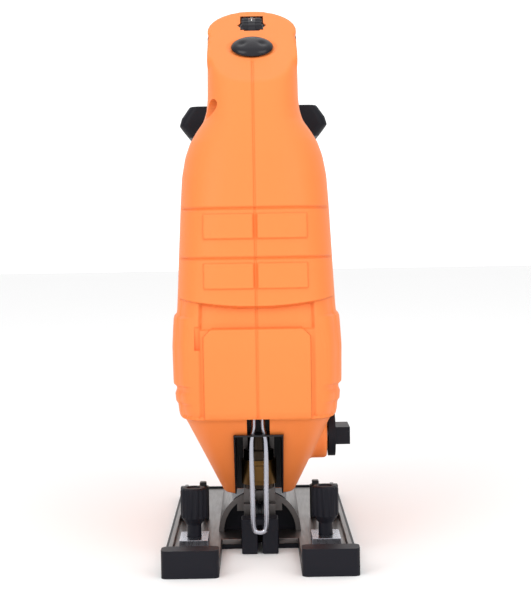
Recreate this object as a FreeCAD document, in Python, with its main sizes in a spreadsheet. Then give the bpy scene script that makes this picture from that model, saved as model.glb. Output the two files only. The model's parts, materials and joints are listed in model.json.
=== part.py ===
import FreeCAD, Part
import math
import os
import Sketcher
from FreeCAD import Placement, Rotation, Vector

# A cordless jigsaw with a closed D-shaped handle, bare of its battery pack and blade.
# Millimetres, +Z up.  The sole rests on z = 0, the front looks along -Y and the origin
# is under the middle of the tool.  Depths are measured from the front lip of the shoe.

doc = FreeCAD.newDocument("Jigsaw")
sheet = doc.addObject("Spreadsheet::Sheet", "Sizes")

SIZES = {
    # overall
    "half_length": 122.5, "wall": 2.5, "fit_gap": 0.1, "seat_gap": 0.3,
    # shoe
    "shoe_half": 38.2, "shoe_length": 171.0, "sole_thick": 1.8, "plate_thick": 2.4,
    "rim_thick": 1.3, "rim_top": 5.0, "lip_depth": 9.0, "lip_top": 10.7,
    "notch_half": 15.9, "notch_end": 51.0, "flange_thick": 1.8, "flange_top": 6.4,
    "insert_half": 7.5, "insert_front": 40.0, "insert_back": 75.0, "insert_top": 14.5,
    "saddle_radius": 17.5, "saddle_thick": 2.2, "saddle_front": 66.0, "saddle_back": 150.0,
    # parallel guide bridges, their thumbscrews and the bar keepers
    "guide_offset": 26.8, "guide_depth": 39.0, "bridge_half": 5.8, "bridge_reach": 9.0,
    "bridge_top": 8.3, "slot_top": 7.5, "slot_reach": 7.5, "stem_radius": 3.0,
    "knob_radius": 5.4, "knob_bottom": 15.5, "knob_top": 28.3, "keeper_front": 92.0,
    "keeper_inner": 22.5, "keeper_outer": 35.0, "keeper_top": 19.0, "keeper_thick": 3.0,
    # plunger, yoke and blade clamp, at the bottom of the stroke
    "plunger_depth": 50.0, "plunger_radius": 4.5, "plunger_low": 40.0, "plunger_high": 122.0,
    "clamp_radius": 6.2, "clamp_low": 26.0, "clamp_high": 42.0, "collar_radius": 7.2,
    "collar_low": 28.0, "collar_high": 38.0, "yoke_half": 16.5, "yoke_height": 11.0,
    "bush_radius": 7.5, "low_bush": 62.8, "high_bush": 106.0, "arm_top": 72.0,
    "high_arm_top": 118.0,
    # gear train: one module, axes above one another
    "gear_height": 88.0, "module_size": 1.0, "pinion_teeth": 9.0, "gear_teeth": 45.0,
    "gear_front": 70.0, "gear_width": 8.0, "crank_radius": 10.0, "pin_radius": 2.5,
    "spindle_radius": 4.0,
    # motor
    "motor_radius": 22.0, "can_thick": 1.8, "can_front": 103.0, "can_back": 163.0,
    "shaft_radius": 3.0, "bulkhead_front": 90.0, "bulkhead_back": 96.0,
    "bearing_radius": 8.0,
    # blade support
    "fork_depth": 62.0, "fork_height": 57.0, "roller_depth": 57.0, "roller_height": 14.0,
    "roller_radius": 5.0,
    # controls
    "selector_depth": 65.0, "selector_height": 46.0, "selector_radius": 9.5,
    "dial_depth": 89.8, "dial_height": 216.2, "dial_radius": 9.0, "dial_half": 4.5,
    "button_depth": 69.8, "button_height": 209.7, "slope_angle": 39.5,
    "trigger_half": 8.0, "trigger_depth": 101.0, "trigger_height": 196.0,
    # battery foot
    "foot_front": 195.0, "foot_back": 245.0, "foot_low": 180.0, "foot_top": 196.0,
    "rail_half": 27.0, "rail_lip": 4.0, "rail_top": 189.0,
    # wire guard
    "guard_depth": 34.5, "guard_radius": 0.95, "guard_half": 2.75, "guard_low": 9.5,
    "guard_high": 60.0,
}

for row, (alias, value) in enumerate(SIZES.items(), start=1):
    sheet.set("A%d" % row, alias)
    sheet.set("B%d" % row, str(value))
    sheet.setAlias("B%d" % row, alias)
doc.recompute()


class Size:
    """A length that knows its value and the sheet expression that gives it."""

    def __init__(self, value, text):
        self.value = float(value)
        self.text = text

    def joined(self, sign, other, value):
        return Size(value, "(%s %s %s)" % (self.text, sign, size_of(other).text))

    def __add__(self, other):
        return self.joined("+", other, self.value + float(other))

    def __sub__(self, other):
        return self.joined("-", other, self.value - float(other))

    def __mul__(self, other):
        return self.joined("*", other, self.value * float(other))

    def __truediv__(self, other):
        return self.joined("/", other, self.value / float(other))

    def __neg__(self):
        return Size(-self.value, "(0 - %s)" % self.text)

    def __radd__(self, other):
        return size_of(other) + self

    def __rsub__(self, other):
        return size_of(other) - self

    def __float__(self):
        return self.value


def size_of(number):
    return number if isinstance(number, Size) else Size(number, "%.6g" % number)


class Sheet:
    """Sizes by name: of.shoe_half is the cell with that alias."""

    def __getattr__(self, alias):
        return Size(sheet.get(alias), "Sizes." + alias)


of = Sheet()
pieces = []


def depth(distance):
    """The Y of a point this far behind the front lip of the shoe."""
    return size_of(distance) - of.half_length


def bind(thing, name, number):
    thing.setExpression(name, size_of(number).text)


def move_to(thing, x, y, z, rotation=None):
    thing.Placement = Placement(Vector(0, 0, 0), rotation or Rotation())
    for letter, number in zip("xyz", (x, y, z)):
        bind(thing, ".Placement.Base." + letter, number)


def add(kind, name):
    return doc.addObject(kind, name)


# ---------------------------------------------------------------- plain solids

def block(name, x, deep, z):
    """A box given by its (low, high) across, behind the lip and above the sole."""
    box = add("Part::Box", name)
    for side, (low, high) in (("Length", x), ("Width", deep), ("Height", z)):
        bind(box, side, size_of(high) - low)
    move_to(box, x[0], depth(deep[0]), z[0])
    return box


def rod(name, axis, radius, ends, across, up):
    """A cylinder along X, Y or Z; `across` and `up` are its other two coordinates."""
    cylinder = add("Part::Cylinder", name)
    bind(cylinder, "Radius", radius)
    bind(cylinder, "Height", size_of(ends[1]) - ends[0])
    if axis == "X":
        move_to(cylinder, ends[0], depth(across), up, Rotation(Vector(0, 1, 0), 90))
    elif axis == "Y":
        move_to(cylinder, across, depth(ends[0]), up, Rotation(Vector(1, 0, 0), -90))
    else:
        move_to(cylinder, across, depth(up), ends[0])
    return cylinder


def cut(name, base, *tools):
    result = base
    for number, tool in enumerate(tools):
        step = add("Part::Cut", name if tool is tools[-1] else "%s_cut_%d" % (name, number))
        step.Base = result
        step.Tool = tool
        result = step
    return result


def fuse(name, *shapes):
    result = add("Part::MultiFuse", name)
    result.Shapes = list(shapes)
    result.Refine = True
    return result


def common(name, first, second):
    result = add("Part::Common", name)
    result.Base = first
    result.Tool = second
    return result


def mirrored(name, source):
    result = add("Part::Mirroring", name)
    result.Source = source
    result.Normal = Vector(1, 0, 0)
    return result


def rounded(name, base, radius, wanted):
    """Fillet the edges of `base` whose middle and direction pass `wanted`."""
    doc.recompute()
    result = add("Part::Fillet", name)
    result.Base = base
    chosen = []
    for number, edge in enumerate(base.Shape.Edges, start=1):
        middle = edge.valueAt((edge.FirstParameter + edge.LastParameter) / 2)
        along = edge.Vertexes[-1].Point - edge.Vertexes[0].Point
        if wanted(middle, along):
            chosen.append((number, radius, radius))
    result.Edges = chosen
    return result


def upright(_middle, along):
    return along.Length > 0 and abs(along.z) > 0.9 * along.Length


def piece(thing, name):
    """Name a finished sub-part; its label is also the name of its file."""
    thing.Label = name
    pieces.append(thing)
    return thing


# ------------------------------------------------------------ sketched solids

def outline(body, role, corners):
    """A closed sketch on an origin plane with every corner bound to the sheet."""
    sketch = body.newObject("Sketcher::SketchObject", body.Name + "_outline")
    plane = [item for item in body.Origin.OriginFeatures if item.Role == role][0]
    sketch.AttachmentSupport = (plane, [""])
    sketch.MapMode = "FlatFace"
    points = [Vector(float(across), float(up), 0) for across, up in corners]
    count = len(points)
    for number in range(count):
        sketch.addGeometry(Part.LineSegment(points[number], points[(number + 1) % count]))
    for number in range(count):
        sketch.addConstraint(
            Sketcher.Constraint("Coincident", number, 2, (number + 1) % count, 1))
    for number, (across, up) in enumerate(corners):
        for kind, number_wanted, axis in (("DistanceX", across, -2), ("DistanceY", up, -1)):
            if float(number_wanted) == 0:
                sketch.addConstraint(Sketcher.Constraint("PointOnObject", number, 1, axis))
                continue
            index = sketch.addConstraint(
                Sketcher.Constraint(kind, -1, 1, number, 1, float(number_wanted)))
            bind(sketch, "Constraints[%d]" % index, number_wanted)
    return sketch


def turned(name, profile, x, deep, z, axis="Z"):
    """A body of revolution; `profile` holds (radius, along) from the start of its axis."""
    body = add("PartDesign::Body", name)
    sketch = outline(body, "XZ_Plane", profile)
    spin = body.newObject("PartDesign::Revolution", name + "_turned")
    spin.Profile = sketch
    spin.ReferenceAxis = (sketch, ["V_Axis"])
    spin.Angle = 360
    turn = {"Z": Rotation(), "X": Rotation(Vector(0, 1, 0), 90),
            "Y": Rotation(Vector(1, 0, 0), -90)}[axis]
    move_to(body, x, depth(deep), z, turn)
    return body


def ring_of(name, outer, inner, ends, x, deep, z, axis):
    """A plain turned ring or tube from ends[0] to ends[1] along its axis."""
    start, end = size_of(ends[0]), size_of(ends[1])
    profile = [(inner, start), (outer, start), (outer, end), (inner, end)]
    return turned(name, profile, x, deep, z, axis)


def padded(name, corners, half_width):
    """A side profile of (depth, height) corners, as wide as twice half_width."""
    body = add("PartDesign::Body", name)
    sketch = outline(body, "YZ_Plane", [(depth(along), up) for along, up in corners])
    pad = body.newObject("PartDesign::Pad", name + "_pad")
    pad.Profile = sketch
    bind(pad, "Length", size_of(half_width) * 2)
    pad.Midplane = True
    return body


# -------------------------------------------------------------- free surfaces

def ring(plane, level, half_width, low, high, low_corner, high_corner):
    """A rounded rectangle: in plan at height `level`, or across at depth `level`."""

    def at(across, along):
        if plane == "plan":
            return Vector(across, float(depth(along)), level)
        return Vector(across, float(depth(level)), along)

    def corner(side, along, radius, way, outwards):
        middle = Vector(side * (half_width - radius), along + way * radius, 0)
        bend = radius * math.sqrt(0.5)
        tip = at(middle.x + side * bend, middle.y - way * bend)
        level_end = at(middle.x, along)
        side_end = at(side * half_width, middle.y)
        first, last = (level_end, side_end) if outwards else (side_end, level_end)
        return Part.Arc(first, tip, last).toShape()

    def line(start, end):
        return Part.LineSegment(at(*start), at(*end)).toShape()

    low_side, high_side = half_width - low_corner, half_width - high_corner
    return Part.Wire([
        line((-low_side, low), (low_side, low)),
        corner(1, low, low_corner, 1, True),
        line((half_width, low + low_corner), (half_width, high - high_corner)),
        corner(1, high, high_corner, -1, False),
        line((high_side, high), (-high_side, high)),
        corner(-1, high, high_corner, -1, True),
        line((-half_width, high - high_corner), (-half_width, low + low_corner)),
        corner(-1, low, low_corner, 1, False),
    ])


def skin(plane, sections, grow):
    """A closed loft through rounded sections, grown or shrunk all round by `grow`."""
    wires = []
    last = len(sections) - 1
    for number, (level, half, low, high, low_corner, high_corner) in enumerate(sections):
        shift = -grow if number == 0 else grow if number == last else 0
        wires.append(ring(plane, level + shift, half + grow, low - grow, high + grow,
                          max(low_corner + grow, 0.6), max(high_corner + grow, 0.6)))
    return Part.makeLoft(wires, True, True)


def feature(name, shape):
    result = add("Part::Feature", name)
    result.Shape = shape
    return result


# Sections of the casing: level, half width, low end, high end and the two corner radii.
CHIN = [(22.0, 15.0, 55.0, 150.0, 5.0, 5.0), (40.0, 22.8, 40.0, 152.0, 8.0, 6.0),
        (57.5, 31.0, 25.0, 156.0, 12.0, 8.0)]
TRUNK = [(57.0, 31.0, 24.5, 156.0, 12.0, 10.0), (61.0, 32.2, 23.0, 162.0, 13.0, 12.0),
         (87.0, 34.0, 23.0, 186.0, 15.0, 20.0), (108.0, 32.6, 25.0, 190.0, 18.0, 24.0),
         (130.0, 31.2, 27.5, 188.0, 20.0, 24.0), (145.0, 28.0, 30.0, 182.0, 20.0, 20.0)]
NECK = [(130.0, 31.1, 27.6, 106.0, 20.0, 10.0), (143.0, 30.6, 29.4, 104.0, 20.0, 10.0),
        (158.0, 29.8, 32.5, 99.0, 20.0, 12.0),
        (166.0, 27.8, 35.5, 96.0, 19.0, 12.0), (174.0, 24.2, 39.0, 94.0, 16.0, 12.0),
        (181.0, 20.4, 43.0, 93.0, 12.0, 10.0), (188.0, 18.8, 47.0, 94.0, 10.0, 8.0),
        (198.0, 18.6, 52.0, 98.0, 8.0, 8.0), (214.0, 18.6, 60.0, 104.0, 8.0, 8.0)]
GRIP = [(72.0, 18.6, 190.0, 230.0, 6.0, 13.0), (95.0, 18.7, 191.5, 228.2, 7.0, 13.0),
        (120.0, 18.8, 191.0, 226.4, 9.0, 13.0), (150.0, 18.8, 189.0, 222.6, 9.0, 13.0),
        (178.0, 18.6, 184.5, 217.8, 8.0, 12.0), (194.0, 18.6, 185.0, 214.6, 6.0, 10.0)]
PILLAR = [(140.0, 23.0, 156.0, 186.0, 8.0, 10.0), (160.0, 18.5, 169.0, 191.0, 8.0, 8.0),
          (180.0, 18.0, 172.0, 194.8, 6.0, 5.0), (196.0, 20.0, 172.0, 194.8, 6.0, 5.0)]
TAIL = [(196.0, 23.4, 172.0, 243.0, 6.0, 8.0), (205.0, 22.0, 170.0, 238.0, 6.0, 8.0),
        (213.5, 17.0, 166.0, 222.0, 6.0, 8.0)]
SLOPE = ((30.0, 176.9), (92.0, 228.0))


def casing(grow):
    """The outer form of both casing halves together, grown or shrunk by `grow`."""
    body = skin("plan", TRUNK, grow)
    for plane, sections in (("plan", CHIN), ("plan", NECK), ("cross", GRIP),
                            ("plan", PILLAR), ("plan", TAIL)):
        body = body.fuse(skin(plane, sections, grow))
    lift = grow / math.cos(math.radians(float(of.slope_angle)))
    (front, low), (rear, high) = SLOPE
    corners = [(front, low + lift), (rear, high + lift), (rear, 245.0), (front, 245.0)]
    points = [Vector(-50, float(depth(deep)), z) for deep, z in corners]
    wedge = Part.Face(Part.makePolygon(points + points[:1])).extrude(Vector(100, 0, 0))
    return body.cut(wedge)


def solid_block(x, deep, z):
    corner = Vector(x[0], float(depth(deep[0])), z[0])
    return Part.makeBox(x[1] - x[0], deep[1] - deep[0], z[1] - z[0], corner)


def solid_rod(axis, radius, start, end, across, up):
    """The same as rod(), as a bare shape for cutting the casing."""
    if axis == "X":
        return Part.makeCylinder(radius, end - start,
                                 Vector(start, float(depth(across)), up), Vector(1, 0, 0))
    return Part.makeCylinder(radius, end - start,
                             Vector(across, float(depth(start)), up), Vector(0, 1, 0))


# Case screws: depth, height, and how far out from the middle plane each counterbore starts.
SCREWS = [(53.0, 183.0, 15.0), (34.0, 92.0, 31.0), (84.0, 139.5, 29.5), (177.0, 152.0, 18.5),
          (183.0, 96.0, 26.0), (150.0, 84.0, 32.5), (160.0, 204.0, 18.8), (195.0, 205.0, 20.0)]
SCREW_SHANK, SCREW_HEAD, BOSS_RADIUS, HEAD_SUNK = 1.75, 3.5, 4.6, 5.0


def casing_halves():
    """Two moulded shells that meet on the middle plane."""
    axle = float(of.sole_thick + of.plate_thick)
    outer, inner = casing(0.0), casing(-float(of.wall))
    shell = outer.cut(inner)
    bosses = [solid_rod("X", BOSS_RADIUS, -40, 40, deep, z) for deep, z, _half in SCREWS]
    collar = solid_rod("X", 12.5, 19, 29, float(of.selector_depth), float(of.selector_height))
    shell = shell.fuse([boss.common(outer) for boss in bosses])
    shell = shell.fuse(collar.cut(inner))
    holes = [
        # blade window and the slot of the wire guard
        solid_block((-9.5, 9.5), (15, 66), (15, 50)),
        solid_block((-4.6, 4.6), (15, 40), (49, 57)),
        # way through the floor between chin and trunk
        skin("plan", [(54.0, 26.6, 30.6, 152.0, 9.0, 5.0), (60.5, 29.0, 26.8, 157.0, 11.0, 9.0)],
             0.0),
        # seat over the saddle and the foot of the gear case
        solid_rod("Y", float(of.saddle_radius + of.seat_gap) + 0.2, 55, 160, 0, axle),
        solid_block((-11.6, 11.6), (66.3, 148.2), (15, 31)),
        # controls
        solid_rod("X", float(of.spindle_radius) + 0.1, 10, 40, float(of.selector_depth),
                  float(of.selector_height)),
        solid_rod("X", float(of.selector_radius) + 0.5, 29.1, 40, float(of.selector_depth),
                  float(of.selector_height)),
        solid_rod("X", float(of.dial_radius) + 0.5, -4.9, 4.9, float(of.dial_depth),
                  float(of.dial_height)),
        solid_block((-8.5, 8.5), (96.5, 140), (180, 200)),
        lock_slot(),
        # cable way from the casing into the battery foot
        solid_block((-12, 12), (206, 228), (190, 200)),
    ]
    for deep, z, half in SCREWS:
        holes.append(solid_rod("X", SCREW_HEAD + 0.3, -45, HEAD_SUNK - half, deep, z))
        holes.append(solid_rod("X", SCREW_SHANK + 0.05, -half, 8.5, deep, z))
    for side in (-1, 1):
        for number in range(6):
            deep = 150 + 5.5 * number
            low, high = sorted((side * 24.0, side * 40.0))
            holes.append(solid_block((low, high), (deep, deep + 2.2), (104, 126)))
    shell = shell.cut(holes)
    return [shell.common(solid_block(side, (-10, 260), (0, 260))) for side in ((-60, 0), (0, 60))]


def tilted(shape):
    """Put a shape drawn about the origin on the slope of the handle's brow."""
    place = Placement(Vector(0, float(depth(of.button_depth)), float(of.button_height)),
                      Rotation(Vector(1, 0, 0), float(of.slope_angle)))
    shape.Placement = place
    return shape


def lock_slot():
    return tilted(Part.makeBox(13.5, 6.6, 14, Vector(-6.75, -3.3, -9)))


def largest(shape):
    """Drop loose crumbs that a cut leaves behind."""
    return max(shape.Solids, key=lambda solid: solid.Volume)


for name, half in zip(("housing_right", "housing_left"), casing_halves()):
    piece(feature(name, largest(half)), name)


def grip_pad(side):
    """Soft rubber moulded over one flank of the handle."""
    low, high = sorted((side * 9.0, side * 30.0))
    around = skin("cross", GRIP, 0.9).common(solid_block((low, high), (104, 176), (180, 232)))
    return around.cut(casing(0.0))


for side, name in ((-1, "grip_right"), (1, "grip_left")):
    piece(feature(name, largest(grip_pad(side))), name)


def screw_set():
    solids = []
    for deep, z, half in SCREWS:
        head_at = HEAD_SUNK - half
        head = solid_rod("X", SCREW_HEAD, head_at - 2.6, head_at, deep, z)
        head = head.cut(solid_rod("X", 1.4, head_at - 3, head_at - 1.2, deep, z))
        solids.append(head.fuse(solid_rod("X", SCREW_SHANK, head_at, 8.0, deep, z)))
    return Part.makeCompound(solids)


piece(feature("housing_screws", screw_set()), "housing_screws")

# ------------------------------------------------------------------------ shoe

plate_top = of.sole_thick + of.plate_thick
notch_x = (-of.notch_half, of.notch_half)


def front_lip(name, low, high):
    body = block(name, (low, high), (0, of.lip_depth), (0, of.lip_top))
    return rounded(name + "_round", body, 2.5, upright)


overshoe = fuse(
    "overshoe_body",
    block("sole", (-of.shoe_half, of.shoe_half), (of.lip_depth / 2, of.shoe_length),
          (0, of.sole_thick)),
    block("rim_a", (-of.shoe_half, of.rim_thick - of.shoe_half),
          (of.lip_depth / 2, of.shoe_length), (0, of.rim_top)),
    block("rim_b", (of.shoe_half - of.rim_thick, of.shoe_half),
          (of.lip_depth / 2, of.shoe_length), (0, of.rim_top)),
    block("rim_c", (-of.shoe_half, of.shoe_half), (of.shoe_length - 1, of.shoe_length + 1),
          (0, of.rim_top)),
    front_lip("lip_a", -of.shoe_half, -of.notch_half),
    front_lip("lip_b", of.notch_half, of.shoe_half))
overshoe = cut(
    "overshoe", overshoe,
    block("sole_notch", notch_x, (-1, of.notch_end), (-1, 12)),
    block("sole_gap", (-of.insert_half - 0.1, of.insert_half + 0.1),
          (of.insert_front, of.insert_back + 1), (-1, 12)))
piece(overshoe, "overshoe")

edge = of.shoe_half - of.rim_thick
steel = fuse(
    "plate_body",
    block("plate_flat", (-edge, edge), (of.lip_depth, of.shoe_length - 1),
          (of.sole_thick, plate_top)),
    block("flange_a", (-edge, of.flange_thick - edge), (of.lip_depth, of.shoe_length - 1),
          (of.sole_thick, of.flange_top)),
    block("flange_b", (edge - of.flange_thick, edge), (of.lip_depth, of.shoe_length - 1),
          (of.sole_thick, of.flange_top)))
steel = cut(
    "shoe_plate", steel,
    block("plate_notch", notch_x, (-1, of.notch_end), (-1, 12)),
    block("plate_gap", (-of.insert_half - 0.1, of.insert_half + 0.1),
          (of.insert_front, of.insert_back + 1), (-1, 12)))
piece(steel, "shoe_plate")

BOLTS = (104.0, 126.0)


def saddle_shell(name, outer, inner, half, ends):
    """Part of a tube about the tilt axis: outer and inner radius and half its width."""
    tube = cut(name + "_tube", rod(name + "_out", "Y", outer, ends, 0, plate_top),
               rod(name + "_in", "Y", inner, (ends[0] - 1, ends[1] + 1), 0, plate_top))
    return common(name + "_half", tube,
                  block(name + "_top", (-half, half), ends, (plate_top, plate_top + 40)))


saddle_inner = of.saddle_radius - of.saddle_thick
arch = saddle_shell("arch", of.saddle_radius, saddle_inner, of.saddle_radius + 1,
                    (of.saddle_front, of.saddle_back))
lip_face = common("saddle_lip",
                  rod("lip_disc", "Y", of.saddle_radius, (of.saddle_front, of.saddle_front + 2),
                      0, plate_top),
                  block("lip_band", (-9.6, 9.6), (of.saddle_front, of.saddle_front + 2), (13, 30)))
saddle = cut("saddle", fuse("saddle_body", arch, lip_face),
             *[block("tilt_slot_%d" % number, (-8, 8), (bolt - 2.8, bolt + 2.8), (13, 40))
               for number, bolt in enumerate(BOLTS)])
piece(saddle, "saddle")

piece(common("dust_baffle",
             rod("baffle_disc", "Y", saddle_inner, (70, 72), 0, plate_top),
             block("baffle_half", (-20, 20), (70, 72), (plate_top, 30))), "dust_baffle")

clamp_outer = saddle_inner - of.seat_gap
clamp_shell = saddle_shell("keep", clamp_outer, clamp_outer - 2.2, 10, (97, 133))
clamp_plate = cut("bevel_clamp_plate", clamp_shell,
                  *[rod("clamp_hole_%d" % number, "Z", 2.6, (10, 30), 0, bolt)
                    for number, bolt in enumerate(BOLTS)])
piece(clamp_plate, "bevel_clamp_plate")

bolt_seat = plate_top + clamp_outer - 2.2
bolts = []
for number, bolt in enumerate(BOLTS):
    bolts.append(fuse("bevel_bolt_%d" % number,
                      rod("bolt_head_%d" % number, "Z", 4.5, (bolt_seat - 4, bolt_seat - 0.9),
                          0, bolt),
                      rod("bolt_shank_%d" % number, "Z", 2.5, (bolt_seat - 4, 40), 0, bolt)))
bolt_set = add("Part::Compound", "bevel_screws")
bolt_set.Links = bolts
piece(bolt_set, "bevel_screws")

insert = fuse(
    "insert_body",
    block("insert_flat", (-of.insert_half, of.insert_half), (of.insert_front, of.insert_back),
          (0.2, plate_top)),
    block("insert_nose", (-of.insert_half, of.insert_half),
          (of.insert_front, of.notch_end - 2), (0.2, of.insert_top)))
piece(cut("splinter_insert", insert,
          block("insert_slit", (-1.0, 1.0), (38, 62), (-1, 12))), "splinter_insert")


def guide_bridge(name):
    """A steel loop over the plate that the bar of a parallel guide slides through."""
    middle, near = of.guide_offset, of.guide_depth
    body = block(name + "_body", (middle - of.bridge_half, middle + of.bridge_half),
                 (near - of.bridge_reach, near + of.bridge_reach), (plate_top, of.bridge_top))
    return cut(name, body,
               block(name + "_slot", (middle - 9, middle + 9),
                     (near - of.slot_reach, near + of.slot_reach), (plate_top - 1, of.slot_top)),
               rod(name + "_bore", "Z", of.stem_radius + 0.1, (6, 12), middle, near))


def bar_keeper(name):
    """A small arch behind each bridge that keeps the guide bar square."""
    front, back = of.keeper_front, of.keeper_front + 4
    body = fuse(name + "_body",
                block(name + "_arch", (of.keeper_inner, of.keeper_outer), (front, back),
                      (plate_top, of.keeper_top)),
                block(name + "_stub", (of.keeper_inner + 1, of.keeper_inner + 4), (front, back),
                      (plate_top, of.keeper_top + 2)))
    return cut(name, body,
               block(name + "_gap", (of.keeper_inner + of.keeper_thick,
                                     of.keeper_outer - of.keeper_thick),
                     (front - 1, back + 1), (plate_top - 1, of.keeper_top - of.keeper_thick)))


for maker, name in ((guide_bridge, "guide_bridge"), (bar_keeper, "bar_keeper")):
    made = piece(maker(name + "_left"), name + "_left")
    piece(mirrored(name + "_right", made), name + "_right")

knob_profile = [
    (0, of.slot_top + 0.3), (of.stem_radius, of.slot_top + 0.3),
    (of.stem_radius, of.knob_bottom - 2), (of.knob_radius, of.knob_bottom),
    (of.knob_radius, of.knob_top - 1), (of.knob_radius - 1, of.knob_top), (0, of.knob_top)]
for side, name in ((1, "guide_screw_left"), (-1, "guide_screw_right")):
    piece(turned(name, knob_profile, of.guide_offset * side, of.guide_depth, 0), name)

# ----------------------------------------------------------- plunger and clamp

piece(turned("plunger_rod",
             [(0, of.plunger_low), (of.plunger_radius, of.plunger_low),
              (of.plunger_radius, of.plunger_high - 1),
              (of.plunger_radius - 1, of.plunger_high), (0, of.plunger_high)],
             0, of.plunger_depth, 0), "plunger_rod")

pin_low = of.gear_height - of.crank_radius
yoke_low, yoke_high = pin_low - of.yoke_height / 2, pin_low + of.yoke_height / 2
piece(cut("yoke",
          block("yoke_body", (-of.yoke_half, of.yoke_half), (52, 60), (yoke_low, yoke_high)),
          rod("yoke_rod", "Z", of.plunger_radius, (60, 100), 0, of.plunger_depth),
          block("yoke_slot", (-13.2, 13.2), (56, 61),
                (pin_low - of.pin_radius - 0.3, pin_low + of.pin_radius + 0.3))), "yoke")

piece(cut("blade_clamp",
          rod("clamp_body", "Z", of.clamp_radius, (of.clamp_low, of.clamp_high), 0,
              of.plunger_depth),
          rod("clamp_socket", "Z", of.plunger_radius, (of.plunger_low, of.clamp_high + 1), 0,
              of.plunger_depth),
          block("blade_slot", (-0.8, 0.8), (46, 54), (20, 37))), "blade_clamp")

collar = ring_of("collar_ring", of.collar_radius, of.clamp_radius + of.fit_gap,
                 (of.collar_low, of.collar_high), 0, of.plunger_depth, 0, "Z")
collar_tab = cut("collar_lever",
                 block("collar_tab", (-2.2, 2.2), (41.6, 46), (30, 36)),
                 rod("collar_clear", "Z", of.clamp_radius + 0.5, (20, 50), 0, of.plunger_depth))
piece(fuse("clamp_collar", collar, collar_tab), "clamp_collar")

for name, low, high in (("lower_bush", of.low_bush, of.arm_top),
                        ("upper_bush", of.high_bush, of.high_arm_top)):
    piece(ring_of(name, of.bush_radius, of.plunger_radius + 0.05, (low, high), 0,
                  of.plunger_depth, 0, "Z"), name)

# ------------------------------------------------------------------- gear case

motor_height = of.gear_height + of.module_size * (of.pinion_teeth + of.gear_teeth) / 2
ARM_X, CHEEK = (-27.5, 27.5), 3.0
case = fuse(
    "case_body",
    block("case_foot", (-11.5, 11.5), (66.5, 148), (17, 34)),
    block("case_web", (-11.5, 11.5), (of.bulkhead_front, of.bulkhead_back), (33, 62)),
    block("case_bulkhead", (-26, 26), (of.bulkhead_front, of.bulkhead_back), (61, 136)),
    block("case_low_arm", ARM_X, (41.5, 62), (63, of.arm_top)),
    block("case_high_arm", ARM_X, (41.5, 62), (of.high_bush, of.high_arm_top)),
    block("case_cheek_a", (ARM_X[0], ARM_X[0] + CHEEK), (41.5, 96), (63, of.high_arm_top)),
    block("case_cheek_b", (ARM_X[1] - CHEEK, ARM_X[1]), (41.5, 96), (63, of.high_arm_top)),
    block("case_lug_a", (8, 12), (58, 66), (53, 64)),
    block("case_lug_b", (-12, -8), (58, 66), (53, 64)))
piece(cut(
    "gear_case", case,
    rod("case_seat", "Y", of.saddle_radius + of.seat_gap, (60, 152), 0, plate_top),
    rod("case_bush_bore", "Z", of.bush_radius, (50, 130), 0, of.plunger_depth),
    rod("case_bearing_bore", "Y", of.bearing_radius, (of.bulkhead_front + 1, 99), 0,
        motor_height),
    rod("case_shaft_bore", "Y", of.shaft_radius + 1, (80, 99), 0, motor_height),
    rod("case_spindle_bore", "Y", of.spindle_radius, (80, 99), 0, of.gear_height),
    rod("case_pivot_bore", "X", 2, (-20, 20), of.fork_depth, of.fork_height),
    *[rod("case_bolt_bore_%d" % number, "Z", 2.6, (15, 41), 0, bolt)
      for number, bolt in enumerate(BOLTS)]), "gear_case")

# ------------------------------------------------------------------ gear train

TOOTH_TOP, TOOTH_ROOT, TIP_SHARE, ROOT_SHARE = 0.8, 1.15, 0.20, 0.52


def toothed(teeth, pitch_radius, front, width, bore, height, phase):
    """A spur gear about a Y axis; the shares give each tooth's width at tip and root."""
    step = 2 * math.pi / teeth
    points = []
    for tooth in range(int(teeth)):
        for share, radius in ((-ROOT_SHARE, pitch_radius - TOOTH_ROOT),
                              (-TIP_SHARE, pitch_radius + TOOTH_TOP),
                              (TIP_SHARE, pitch_radius + TOOTH_TOP),
                              (ROOT_SHARE, pitch_radius - TOOTH_ROOT)):
            angle = (tooth + share / 2 + phase) * step
            points.append(Vector(radius * math.sin(angle), float(depth(front)),
                                 height + radius * math.cos(angle)))
    face = Part.Face(Part.makePolygon(points + points[:1]))
    wheel = face.extrude(Vector(0, width, 0))
    return wheel.cut(solid_rod("Y", bore, front - 1, front + width + 30, 0, height))


gear_pitch = float(of.module_size * of.gear_teeth / 2)
pinion_pitch = float(of.module_size * of.pinion_teeth / 2)
gear_z, motor_z = float(of.gear_height), float(motor_height)
gear_y0, gear_w = float(of.gear_front), float(of.gear_width)
spindle_bore = float(of.spindle_radius) + 0.1
wheel = toothed(float(of.gear_teeth), gear_pitch, gear_y0, gear_w, spindle_bore, gear_z, 0.0)
hub = solid_rod("Y", 9.0, gear_y0 + gear_w, 88, 0, gear_z)
wheel = wheel.fuse(hub.cut(solid_rod("Y", spindle_bore, 60, 95, 0, gear_z)))
wheel = wheel.cut(solid_rod("Y", 2.5, 60, 95, 0, gear_z - float(of.crank_radius)))
piece(feature("drive_gear", wheel), "drive_gear")
piece(feature("pinion", toothed(float(of.pinion_teeth), pinion_pitch, gear_y0 - 1, gear_w + 2,
                                float(of.shaft_radius), motor_z, 0.0)), "pinion")
piece(rod("gear_spindle", "Y", of.spindle_radius, (66, of.bulkhead_back), 0, of.gear_height),
      "gear_spindle")
piece(rod("crank_pin", "Y", of.pin_radius, (60.4, of.gear_front + of.gear_width), 0, pin_low),
      "crank_pin")
weight = cut("weight_ring",
             rod("weight_disc", "Y", 19, (64, of.gear_front), 0, of.gear_height),
             rod("weight_bore", "Y", 7, (60, 75), 0, of.gear_height))
piece(common("counterweight", weight,
             block("weight_side", (-20, 20), (63, 71), (of.gear_height + 2, 120))),
      "counterweight")

# ----------------------------------------------------------------------- motor

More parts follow.
